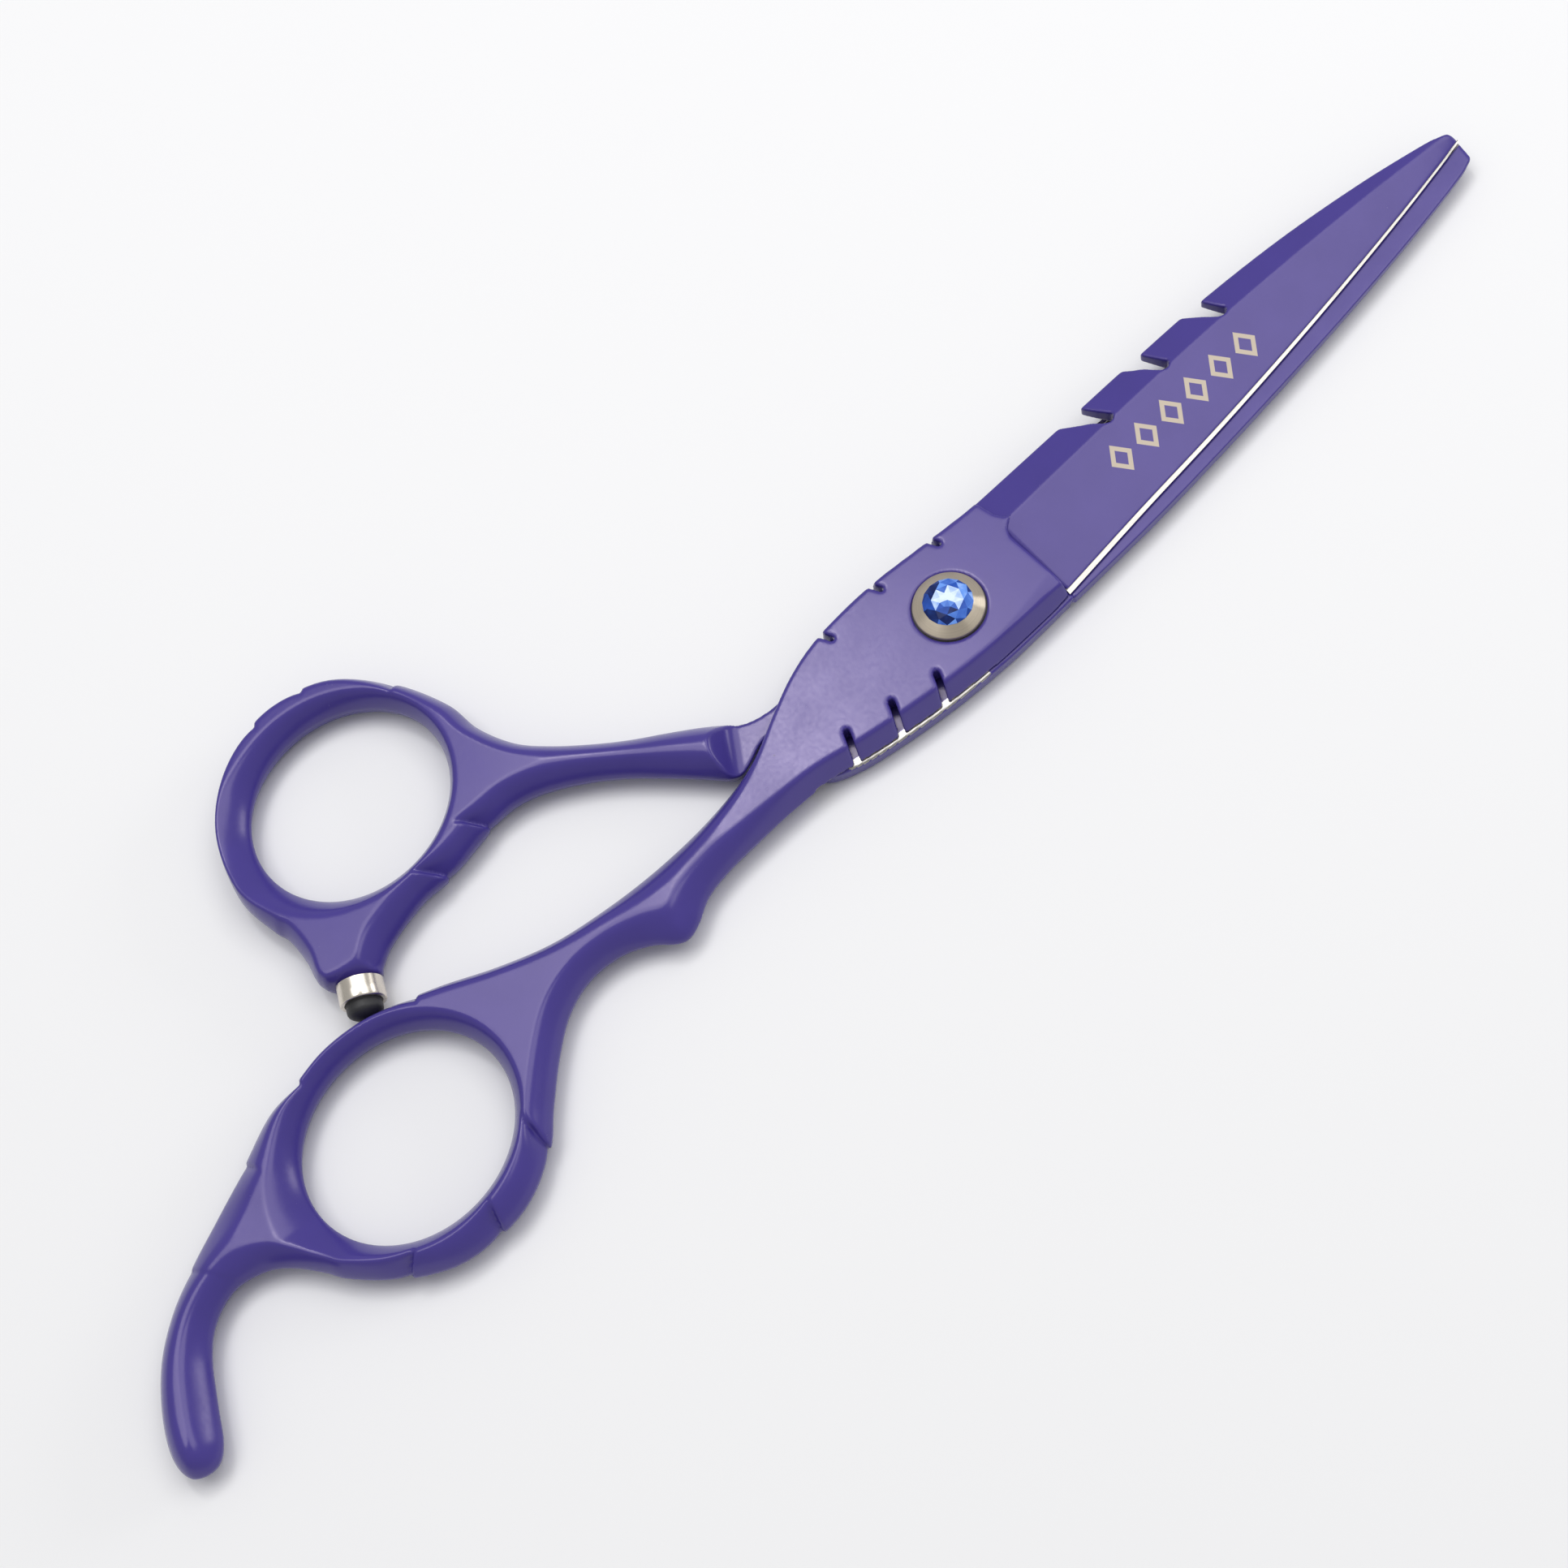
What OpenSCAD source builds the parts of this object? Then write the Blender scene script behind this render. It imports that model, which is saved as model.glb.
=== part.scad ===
// Hairdressing shears with two forged halves on a jewelled pivot screw.
// The pivot axis is Z, the blades point along +X and the shears lie on the plane Z = 0.

/* [Blades] */
// Distance from the pivot axis to the blade tips
blade_reach = 70.7; // [60:0.1:85]
// Distance from the pivot axis to the step where the blades start
ricasso_front = 9.2; // [8:0.1:11]
// Thickness of each half at the pivot
half_thick = 2.45; // [2.4:0.05:3.2]
// Gap between the inner faces of the two halves
mate_gap = 0.1; // [0.06:0.01:0.2]
// Height of a blade along its ridge
ridge_thick = 2.2; // [1.6:0.05:2.4]
// Height of a blade along its spine
spine_thick = 1.4; // [1:0.05:1.6]
// Height of a blade at its tip
tip_thick = 0.7; // [0.5:0.05:1]
// Width of the ground bevel along a cutting edge
edge_bevel = 0.4; // [0.2:0.05:0.6]
// Set-back of a blade's inner face from the mating face
blade_relief = 0.03; // [0.02:0.01:0.06]

/* [Finger ring] */
// Distance of the finger ring's centre behind the pivot axis
finger_ring_x = 70.4; // [66:0.1:80]
// Sideways offset of the finger ring's centre
finger_ring_y = -0.6; // [-2:0.1:1]
// Length of the finger hole
finger_hole_l = 21.4; // [19:0.1:23]
// Width of the finger hole
finger_hole_w = 19; // [17:0.1:21]
// Wall of the finger ring on the bumper's side
finger_wall = 2.3; // [2.1:0.1:3]
// Wall of the finger ring on its outer side
finger_wall_outer = 3.6; // [3:0.1:4.5]

/* [Thumb ring] */
// Distance of the thumb ring's centre behind the pivot axis
thumb_ring_x = 53.8; // [50:0.1:58]
// Sideways offset of the thumb ring's centre
thumb_ring_y = 29.3; // [28:0.1:33]
// Length of the thumb hole
thumb_hole_l = 20.8; // [19:0.1:22]
// Width of the thumb hole
thumb_hole_w = 20.4; // [19:0.1:22]
// Wall of the thumb ring
thumb_wall = 2.8; // [2.4:0.1:3.4]

/* [Handles] */
// Rounding of the ring holes' rims
hole_round = 1; // [0.6:0.1:1.1]
// Radius about the pivot that the lower half's heel keeps inside
heel_r = 20.3; // [20:0.1:21]
// Room between the heel and the finger half's shoulder
heel_room = 1.2; // [0.6:0.1:2]
// Run of the sloping shoulder on the thumb half
shoulder_run = 1.6; // [0.8:0.1:2.5]

/* [Pivot] */
// Diameter of the screw's head
head_d = 7; // [6.4:0.1:8]
// Height of the screw's head above the face of the finger half
head_rise = 0.8; // [0.5:0.05:1.2]
// Depth of the head's seat in the finger half
head_seat = 0.6; // [0.4:0.05:0.9]
// Thickness of the washer under the head
head_washer_t = 0.3; // [0.2:0.05:0.35]
// Diameter of the screw's neck in the finger half
neck_d = 4.6; // [4.2:0.1:5]
// Diameter of the screw where the bush runs
bearing_d = 4; // [3.6:0.1:4.1]
// Diameter of the screw's threaded end
thread_d = 3.4; // [3:0.1:3.5]
// Outer diameter of the pivot bush
bush_d = 5.6; // [5.2:0.1:6]
// Diameter of the friction washer
friction_d = 9; // [7.6:0.1:10]
// Thickness of the friction washer
friction_t = 0.45; // [0.35:0.05:0.55]
// Diameter of the tension nut
nut_d = 7.4; // [7:0.1:8]
// Thickness of the tension nut
nut_t = 0.95; // [0.85:0.05:1.05]
// Thickness of the nut's closed face
nut_cap = 0.35; // [0.3:0.05:0.4]
// Diameter of the nut's two spanner holes
spanner_d = 0.9; // [0.6:0.1:1]
// Thickness of the tension spring
spring_t = 0.16; // [0.12:0.02:0.18]
// Rise of the tension spring's cone
spring_rise = 0.14; // [0.08:0.02:0.16]
// Running clearance between turning pieces, on the radius
run_fit = 0.03; // [0.02:0.01:0.06]
// Clearance of pieces that seat in one another
seat_fit = 0.01; // [0.01:0.01:0.03]
// Face clearance between turning pieces
face_fit = 0.03; // [0.02:0.01:0.04]
// Gap round the screw's head and round the nut
rim_gap = 0.2; // [0.15:0.05:0.4]

/* [Crystal] */
// Diameter of the crystal at its girdle
crystal_d = 4.9; // [4.2:0.1:5.2]
// Diameter of the crystal's table
crystal_table_d = 2.9; // [2.2:0.1:3.4]
// Height of the crystal above the screw's rim
crystal_crown = 0.45; // [0.3:0.05:0.7]
// Depth of the crystal below the screw's rim
crystal_depth = 0.65; // [0.5:0.05:0.7]
// Thickness of the cement under the crystal
cement_t = 0.1; // [0.06:0.02:0.14]

/* [Bumper] */
// Direction in which the bumper points, from +X
bumper_angle = 243; // [240:1:246]
// Length of the rubber pad that shows past the sleeve
pad_show = 1.6; // [1.2:0.1:2.2]
// Sideways offset of the bumper's axis from the thumb ring's centre
bumper_offset = 2.5; // [2:0.1:3]
// Diameter of the bumper's sleeve
sleeve_d = 4.5; // [4:0.1:4.8]
// Length of the bumper's sleeve
sleeve_l = 2.2; // [1.6:0.1:2.6]
// Diameter of the threaded stud behind the sleeve
stud_d = 2; // [1.6:0.1:2.4]
// Length of the threaded stud
stud_l = 2.4; // [1.6:0.1:2.8]
// Diameter of the rubber pad
pad_d = 3.5; // [3:0.1:3.7]
// Depth of the pad's socket in the sleeve
pad_socket = 1.1; // [0.7:0.1:1.2]
// Gap between the pad and the closed finger ring
pad_gap = 0.1; // [0.05:0.05:0.3]

/* [Decorative cuts] */
// Width of the spine notches
notch_w = 1.2; // [0.8:0.1:1.4]
// Depth of the first spine notch
notch_depth = 3.3; // [2.4:0.1:3.4]
// Distance between the spine notches
notch_pitch = 8.1; // [7:0.1:9]
// Distance of the first spine notch from the pivot axis
notch_x = 24; // [22:0.1:26]
// Width of the slots in the ricasso
slot_w = 0.6; // [0.4:0.05:0.8]
// Distance between the slots in the ricasso
slot_pitch = 4.95; // [4.5:0.05:5.2]
// Width of the nicks along the ricasso's back
nick_w = 0.7; // [0.5:0.05:0.9]
// Distance between the nicks along the ricasso's back
nick_pitch = 6.9; // [6:0.1:7.2]

/* [Hidden] */
$fn = 64;
// Steps of the outline curves between two of their points
curve_steps = 3;
// Angles at which the rounded side of a handle is set out
side_angles = [-90, -50, 0, 50, 90];
// Overrun of a cutting shape past what it cuts
over = 1;

plate_h = 2 * half_thick + mate_gap;
mid_z = plate_h / 2;
upper_z = mid_z + mate_gap / 2;
lower_z = mid_z - mate_gap / 2;

finger_c = [-finger_ring_x, finger_ring_y];
thumb_c = [-thumb_ring_x, thumb_ring_y];
finger_axes = [finger_hole_l / 2, finger_hole_w / 2];
thumb_axes = [thumb_hole_l / 2, thumb_hole_w / 2];

seat_z = plate_h - head_seat;
head_z = seat_z + head_washer_t;
rim_z = plate_h + head_rise;
friction_z = upper_z - face_fit - friction_t;
spring_z = nut_t + face_fit;
nut_room = spring_z + spring_t + spring_rise + face_fit;
seat_r = head_d / 2 + rim_gap;
nut_room_r = nut_d / 2 + rim_gap;

// Point on a ring's outside: the hole's ellipse at an angle, pushed out by a wall
function ring_point(centre, axes, angle, wall, round) =
    [centre[0] + (axes[0] + wall) * cos(angle), centre[1] + (axes[1] + wall) * sin(angle), round];
// Point given from a base, with its edge rounding
function from_base(base, p) = [base[0] + p[0], base[1] + p[1], p[2]];
// Smooth curve through four points, between the second and the third
function smooth(a, b, c, d, t) =
    0.5 * (2 * b + (c - a) * t + (2 * a - 5 * b + 4 * c - d) * t * t + (3 * b - a - 3 * c + d) * t * t * t);
function closed_curve(points, steps) = let (n = len(points))
    [for (i = [0:n - 1]) for (k = [0:steps - 1])
        smooth(points[(i + n - 1) % n], points[i], points[(i + 1) % n], points[(i + 2) % n], k / steps)];
function open_curve(points, steps) = let (n = len(points))
    [for (i = [0:n - 2]) for (k = [0:steps - (i == n - 2 ? 0 : 1)])
        smooth(points[max(i - 1, 0)], points[i], points[i + 1], points[min(i + 2, n - 1)], k / steps)];
// Outward direction at a point of a curve that runs counter-clockwise
function outward(curve, i) = let (n = len(curve), d = curve[(i + 1) % n] - curve[(i + n - 1) % n])
    [d[1], -d[0]] / norm([d[0], d[1]]);

// Whether the back of a band is the nearer side to step along, between back point i and front point j
function step_back(c, i, j) =
    norm([c[i + 1][0] - c[j][0], c[i + 1][1] - c[j][1]]) <= norm([c[i][0] - c[j - 1][0], c[i][1] - c[j - 1][1]]);
// Triangles that fill a band-shaped outline, laced from its back to its front
function band_faces(c) = [for (i = 0, j = len(c) - 1, back = step_back(c, i, j); j - i > 1;
    i = back ? i + 1 : i, j = back ? j : j - 1, back = step_back(c, i, j))
    back ? [i, i + 1, j] : [i, j - 1, j]];

// Heel radius, finger hole, thumb hole and sleeve at which the outlines below were drawn
drawn_at = [20.3, 21.4, 20.8, 4.5];
// How far each region has grown since
body_k = heel_r / drawn_at[0];
finger_k = finger_hole_l / drawn_at[1];
thumb_k = thumb_hole_l / drawn_at[2];
spur_k = sleeve_d / drawn_at[3];

// Outline of the finger half from the blade's step round the ring and the finger rest, as [x, y, rounding]
tang_base = [finger_c[0] - finger_axes[0], finger_c[1]];
finger_back = [[17, 6, 0.4], [13, 6.3, 0.4], [8, 6.5, 0.4], [3, 7, 0.4], [-3, 7.6, 0.4], [-8, 7.6, 0.4],
    [-12, 7.1, 0.4], [-15.5, 6, 0.4], [-19, 4.4, 0.6], [-23, 2.7, 1]];
finger_back_flare = [[26.4, 2.7, 1.8], [21.4, 3.8, 1.8], [16.4, 5.8, 1.8], [11.4, 8.3, 1.6]];
finger_ring_back = [[62, 0.1, 1], [78, 0, 1], [94, -0.1, 1], [111, 0.1, 1], [127, 0.9, 1.2]];
finger_tang = [[-3.4, 7.7, 1.4], [-7.4, 6.5, 1.6], [-11.4, 4.7, 1.8], [-15.4, 2.5, 1.8], [-18.9, -0.4, 1.8],
    [-21.6, -4.1, 1.7], [-22.9, -7.5, 1.5], [-22.6, -10, 1.3], [-20.8, -10.9, 1.3], [-19.1, -9.6, 1.5],
    [-17.3, -6.4, 1.7], [-15.1, -2.9, 1.8], [-12.9, -0.7, 1.8], [-9.9, 0.35, 1.7], [-6.9, -0.1, 1.6],
    [-4.7, -1.6, 1.5], [-2.7, -4, 1.4]];
finger_ring_front = [[210, -0.6, 1.1], [234, -0.6, 1.1], [258, -0.1, 1.4], [282, 0.1, 1.5], [305, 0, 1.5]];
finger_front_flare = [[11.4, -7.8, 1.7], [14.9, -4.6, 1.8], [18.4, -2.3, 1.8], [21.9, -1.25, 1.8],
    [25.4, -1.5, 1.8]];
finger_front = [[-24, -3.35, 1.6], [-20, -3.75, 1.3], [-15, -4.85, 1.1], [-10, -5.75, 1.1], [-5, -6.45, 1.1],
    [0, -6.85, 1.1], [5, -6.9, 1.1], [9, -6.75, 1.1], [13, -6.5, 1.1], [17, -6.2, 1.1]];
// Points of the finger half's shank as [share of the way from the ricasso to the ring, y, rounding]
finger_shank_back = [[0.19, 1.7, 1.5], [0.43, 1.3, 1.8], [0.71, 1.5, 1.8]];
finger_shank_front = [[0.92, -3.4, 1.5], [0.84, -4.9, 1], [0.78, -5.4, 0.9], [0.7, -4.9, 1], [0.59, -3.7, 1.5],
    [0.43, -3.1, 1.8], [0.24, -3.15, 1.8]];
finger_shank_x = [-23 * body_k, finger_c[0] + finger_k * finger_back_flare[0][0]];
function on_finger_shank(p) =
    [finger_shank_x[0] + p[0] * (finger_shank_x[1] - finger_shank_x[0]), body_k * p[1], body_k * p[2]];
finger_outline = closed_curve(concat(body_k * finger_back,
    [for (p = finger_shank_back) on_finger_shank(p)],
    [for (p = finger_back_flare) from_base(finger_c, finger_k * p)],
    [for (p = finger_ring_back) ring_point(finger_c, finger_axes, p[0], finger_wall + p[1], p[2])],
    [for (p = finger_tang) from_base(tang_base, finger_k * p)],
    [for (p = finger_ring_front) ring_point(finger_c, finger_axes, p[0], finger_wall_outer + p[1], p[2])],
    [for (p = finger_front_flare) from_base(finger_c, finger_k * p)],
    [for (p = finger_shank_front) on_finger_shank(p)],
    body_k * finger_front), curve_steps);

// The bumper's axis passes beside the thumb ring's centre, and its pad ends just short of the finger ring's wall
bumper_dir = [cos(bumper_angle), sin(bumper_angle)];
bumper_side = [-bumper_dir[1], bumper_dir[0]];
bumper_foot = thumb_c - bumper_offset * bumper_side;
function wall_reach(ax, ay) = let (
    p = [(bumper_foot[0] - finger_c[0]) / ax, (bumper_foot[1] - finger_c[1]) / ay],
    d = [bumper_dir[0] / ax, bumper_dir[1] / ay],
    half_b = p * d, a = d * d, c = p * p - 1)
    (-half_b - sqrt(half_b * half_b - a * c)) / a;
pad_end = sleeve_l + pad_show;
spur_end = bumper_foot
    + (wall_reach(finger_axes[0] + finger_wall, finger_axes[1] + finger_wall) - pad_gap - pad_end) * bumper_dir;

// Outline of the thumb half from the blade's step round the ring and the bumper's spur, as [x, y, rounding]
thumb_back = [[17, 5.4, 0.4], [13, 5.6, 0.4], [8, 5.9, 0.4], [3, 6.4, 0.4], [-3, 6.9, 0.4], [-8, 6.9, 0.4],
    [-12, 6.5, 0.4], [-16.5, 5.9, 0.4], [-19.5, 6.1, 0.5], [-21.7, 7, 0.8]];
thumb_back_flare = [[20.8, -13.6, 1.5], [17.8, -10.7, 1.6], [15.6, -7.7, 1.6], [14.1, -3.8, 1.5]];
thumb_ring_back = [[2, 0.4, 1.4], [30, -0.4, 1.1], [60, 0, 1.1], [90, 0, 1.1], [120, 0, 1.1], [150, 0.2, 1.2],
    [180, 0.5, 1.4], [202, 0.7, 1.4]];
thumb_ring_front = [[265, 0.5, 1.3], [280, 0.4, 1.2], [297, 0.8, 1.2]];
thumb_front_flare = [[8.3, -12.3, 1.3], [11.3, -12.4, 1.5], [14.3, -13.5, 1.6]];
thumb_neck = [[-23.8, 3.4, 0.6], [-22.2, 4, 0.4], [-20.6, 4, 0.3]];
thumb_heel = [for (angle = [172, 178, 184]) [heel_r * cos(angle), heel_r * sin(angle), 0.3]];
thumb_belly = [[-19.6, -3.1, 0.4], [-16.5, -4.5, 0.4], [-12, -5.45, 0.4], [-6, -6.35, 0.4], [0, -6.9, 0.4],
    [5, -7.05, 0.4], [9, -7.1, 0.4], [13, -7.05, 0.4], [17, -6.9, 0.4]];
// Points of the bumper's spur as [distance past its end face, distance to the ring's outer side, rounding]
thumb_spur_back = [[-6.5, 5.5, 1.4], [-3.8, 4.3, 1.4], [-1.8, 3.8, 1.2], [-0.7, 3.3, 0.7], [0.2, 2.2, 0.4]];
thumb_spur_front = [[0.2, -1.9, 0.4], [-0.8, -2.6, 0.6], [-2.8, -4.1, 1.2]];
// Points of the thumb half's shank as [share of the way from the neck to the ring, distance to its side, rounding]
thumb_shank_back = [[0.25, -1.13, 1.3], [0.5, -0.7, 1.5], [0.74, -0.2, 1.5]];
thumb_shank_front = [[1.05, 3.58, 1.6], [0.8, 3.3, 1.5], [0.56, 3.43, 1.5], [0.31, 3.79, 1.5], [0.16, 4, 1.2],
    [0.06, 3.86, 0.9]];
thumb_shank_from = body_k * [-22, 5.5];
thumb_shank_to = thumb_c + thumb_k * [thumb_back_flare[0][0], thumb_back_flare[0][1]];
thumb_shank_dir = (thumb_shank_to - thumb_shank_from) / norm(thumb_shank_to - thumb_shank_from);
function on_thumb_shank(p) = let (q = thumb_shank_from + p[0] * (thumb_shank_to - thumb_shank_from)
    + body_k * p[1] * [-thumb_shank_dir[1], thumb_shank_dir[0]]) [q[0], q[1], body_k * p[2]];
function on_spur(p) = let (q = spur_end + spur_k * (p[0] * bumper_dir - p[1] * bumper_side))
    [q[0], q[1], spur_k * p[2]];
thumb_outline = closed_curve(concat(body_k * thumb_back,
    [for (p = thumb_shank_back) on_thumb_shank(p)],
    [for (p = thumb_back_flare) from_base(thumb_c, thumb_k * p)],
    [for (p = thumb_ring_back) ring_point(thumb_c, thumb_axes, p[0], thumb_wall + p[1], p[2])],
    [for (p = thumb_spur_back) on_spur(p)],
    [for (p = thumb_spur_front) on_spur(p)],
    [for (p = thumb_ring_front) ring_point(thumb_c, thumb_axes, p[0], thumb_wall + p[1], p[2])],
    [for (p = thumb_front_flare) from_base(thumb_c, thumb_k * p)],
    [for (p = thumb_shank_front) on_thumb_shank(p)],
    body_k * thumb_neck, thumb_heel, body_k * thumb_belly), curve_steps);
// Foot and direction of the thumb half's shoulder, seen from above
shoulder_foot = body_k * [-23, 4.85];
shoulder_turn = -34;

// Blade outlines as [share of the blade's length, edge, ridge, spine]
blade_steps = 2;
upper_blade_plan = [[-0.03, -6.7, 2.6, 6.4], [0.18, -5.7, 2.85, 6.3], [0.34, -5, 3, 6.25], [0.5, -4.1, 2.95, 6.05],
    [0.67, -2.95, 2.5, 5.25], [0.83, -1.6, 1.75, 3.85], [0.95, -0.5, 1.2, 2.35], [0.985, -0.15, 0.95, 1.7],
    [1, 0.2, 0.6, 0.9]];
lower_blade_plan = [[-0.03, 5.2, -3.2, -7.1], [0.18, 4.8, -3.2, -6.9], [0.34, 4.2, -3, -6.4],
    [0.5, 3.4, -2.7, -5.7], [0.67, 2.2, -2.2, -4.8], [0.83, 1, -1.6, -3.6], [0.95, 0.2, -1.2, -2.5],
    [0.985, -0.1, -1, -1.9], [1, -0.4, -0.8, -1.2]];

blade_back = upper_blade_plan[1][3];
// Inner ends of the slots and the nicks, before they are set out by their pitch
slot_ends = [[-5.6, -3.9], [-5.6, -3], [-5.6, -2]];
nick_ends = [[3.9, 5.6], [3.9, 6.2], [3.9, 6.2]];

paint = "#6a60a6";
steel = "#b3a793";

// Solid plate on an outline, with its sides rounded by each point's own rounding
module rounded_plate(curve) {
    n = len(curve);
    rows = len(side_angles);
    points = [for (a = side_angles) for (i = [0:n - 1])
        let (inset = curve[i][2] * (1 - cos(a)), m = outward(curve, i))
        [curve[i][0] - m[0] * inset, curve[i][1] - m[1] * inset, mid_z + plate_h / 2 * sin(a)]];
    sides = [for (r = [0:rows - 2]) for (i = [0:n - 1]) let (j = (i + 1) % n)
        [r * n + i, (r + 1) * n + i, (r + 1) * n + j, r * n + j]];
    cap = band_faces(curve);
    top = (rows - 1) * n;
    polyhedron(points, concat(cap, sides, [for (f = cap) [top + f[2], top + f[1], top + f[0]]]), convexity = 8);
}

// Cutter for a ring's hole, flared at both faces to round the rims
module ring_hole(centre, axes) {
    hole_steps = 48;
    flare = [for (a = side_angles) [hole_round * (1 - cos(a)), (plate_h / 2 + mate_gap) * sin(a)]];
    section = concat([[hole_round, -plate_h]], flare, [[hole_round, plate_h]]);
    rows = len(section);
    points = [for (s = section) for (i = [0:hole_steps - 1]) let (a = 360 * i / hole_steps)
        [centre[0] + (axes[0] + s[0]) * cos(a), centre[1] + (axes[1] + s[0]) * sin(a), mid_z + s[1]]];
    sides = [for (r = [0:rows - 2]) for (i = [0:hole_steps - 1]) let (j = (i + 1) % hole_steps)
        [r * hole_steps + i, (r + 1) * hole_steps + i, (r + 1) * hole_steps + j, r * hole_steps + j]];
    polyhedron(points, concat([[for (i = [0:hole_steps - 1]) i]], sides,
        [[for (i = [hole_steps - 1:-1:0]) (rows - 1) * hole_steps + i]]), convexity = 4);
}

// Blade lofted along its plan: side is 1 for the upper blade and -1 for the lower one
module blade(plan, side) {
    stations = open_curve(plan, blade_steps);
    base = side > 0 ? upper_z : lower_z;
    length = blade_reach - ricasso_front;
    corner_steps = 5;
    rings = [for (s = stations) let (
        x = ricasso_front + s[0] * length,
        fade = max(0, s[0]),
        ridge_h = ridge_thick + (tip_thick - ridge_thick) * fade * fade,
        spine_h = spine_thick + (tip_thick - spine_thick) * fade * fade,
        bevel = min(edge_bevel, abs(s[2] - s[1]) / 2))
        [[x, body_k * s[1], blade_relief], [x, body_k * s[1] + side * bevel, blade_relief + bevel * 0.8],
         [x, body_k * s[2], ridge_h], [x, body_k * s[3], spine_h], [x, body_k * s[3], blade_relief]]];
    points = [for (ring = rings) for (p = ring) [p[0], p[1], base + side * p[2]]];
    last = (len(rings) - 1) * corner_steps;
    sides = [for (r = [0:len(rings) - 2]) for (i = [0:corner_steps - 1])
        let (j = (i + 1) % corner_steps, q = r * corner_steps)
        for (f = [[q + i, q + j, q + corner_steps + j], [q + i, q + corner_steps + j, q + corner_steps + i]]) f];
    ends = [for (i = [1:corner_steps - 2]) for (f = [[0, i + 1, i], [last, last + i, last + i + 1]]) f];
    polyhedron(points, concat(sides, ends), convexity = 4);
}

// Everything in front of the step where the blades start
module front_cut() {
    translate([ricasso_front, -blade_reach / 2, -over]) cube([blade_reach, blade_reach, plate_h + 2 * over]);
}

// Slot with a round inner end, from a point on the plan towards an angle
module slot(from, angle, width, length) {
    translate([from[0], from[1], -over]) rotate([0, 0, angle]) linear_extrude(plate_h + 2 * over) {
        circle(d = width);
        translate([0, -width / 2]) square([length, width]);
    }
}

// Notch in the upper blade's spine with a sloping lead-in, deepest next to the pivot
module spine_notch(i) {
    depth = notch_depth * (1 - 0.09 * i);
    ramp = 0.9 * depth;
    lean = 0.45;
    translate([notch_x + i * notch_pitch, body_k * blade_back, mid_z]) linear_extrude(plate_h) {
        translate([lean * depth - notch_w / 2, -depth]) circle(d = notch_w, $fn = 32);
        polygon([[-lean, over], [lean * depth, -depth], [lean * depth - notch_w, -depth],
            [-notch_w * 0.55, -depth * 0.62], [-ramp, 0], [-ramp - over, over]]);
    }
}

module finger_half() {
    color(paint) difference() {
        union() {
            difference() {
                rounded_plate(finger_outline);
                front_cut();
                translate([0, 0, -over]) cylinder(r = heel_r + heel_room, h = upper_z + over);
            }
            blade(upper_blade_plan, 1);
        }
        ring_hole(finger_c, finger_axes);
        translate([0, 0, mid_z]) cylinder(d = neck_d + 2 * seat_fit, h = plate_h);
        translate([0, 0, seat_z]) cylinder(r = seat_r, h = plate_h);
        for (i = [0:2]) spine_notch(i);
        for (i = [0:2]) slot(body_k * slot_ends[i] - [i * slot_pitch, 0], 242, slot_w, heel_r / 3);
        for (i = [0:2]) slot(body_k * nick_ends[i] - [i * nick_pitch, 0], 96, nick_w, heel_r / 3);
    }
}

module thumb_half() {
    color(paint) difference() {
        union() {
            difference() {
                rounded_plate(thumb_outline);
                front_cut();
                translate([shoulder_foot[0], shoulder_foot[1], lower_z]) rotate([0, 0, shoulder_turn])
                    rotate([90, 0, 0]) translate([0, 0, -blade_reach / 2]) linear_extrude(blade_reach)
                        polygon([[0, 0], [blade_reach, 0], [blade_reach, plate_h],
                            [-shoulder_run * plate_h / half_thick, plate_h]]);
            }
            blade(lower_blade_plan, -1);
        }
        ring_hole(thumb_c, thumb_axes);
        translate([0, 0, -over]) cylinder(d = bush_d + 2 * seat_fit, h = plate_h + over);
        translate([0, 0, -over]) cylinder(r = nut_room_r, h = nut_room + over);
        translate([0, 0, friction_z]) cylinder(d = friction_d + 2 * seat_fit, h = plate_h);
        bumper_place() translate([0, 0, -stud_l - seat_fit]) cylinder(d = stud_d + 2 * seat_fit, h = stud_l + over);
        bumper_place() cylinder(d = 3 * sleeve_d, h = sleeve_l);
    }
}

// Bumper frame: Z runs out of the spur's end towards the finger ring
module bumper_place() {
    translate([spur_end[0], spur_end[1], mid_z]) rotate([0, 0, bumper_angle]) rotate([0, 90, 0]) children();
}

module pivot_screw() {
    head_half = (rim_z - head_z) / 2;
    color(steel) difference() {
        union() {
            translate([0, 0, head_z]) cylinder(d = head_d, h = head_half);
            translate([0, 0, head_z + head_half])
                cylinder(d1 = head_d, d2 = (crystal_d + head_d) / 2, h = head_half);
            translate([0, 0, upper_z]) cylinder(d = neck_d, h = head_z - upper_z + seat_fit);
            translate([0, 0, nut_room]) cylinder(d = bearing_d, h = upper_z - nut_room + seat_fit);
            translate([0, 0, nut_cap + face_fit]) cylinder(d = thread_d, h = nut_room - nut_cap);
        }
        translate([0, 0, rim_z - crystal_depth - cement_t])
            cylinder(d1 = crystal_table_d / 2, d2 = crystal_d + 2 * cement_t, h = crystal_depth + cement_t);
        translate([0, 0, rim_z]) cylinder(d = head_d, h = over);
    }
}

module crystal() {
    color("#8fb4ee", 0.7) {
        translate([0, 0, rim_z]) cylinder(d1 = crystal_d, d2 = crystal_table_d, h = crystal_crown);
        translate([0, 0, rim_z - crystal_depth])
            cylinder(d1 = crystal_table_d / 2 - cement_t, d2 = crystal_d, h = crystal_depth);
    }
}

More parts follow.
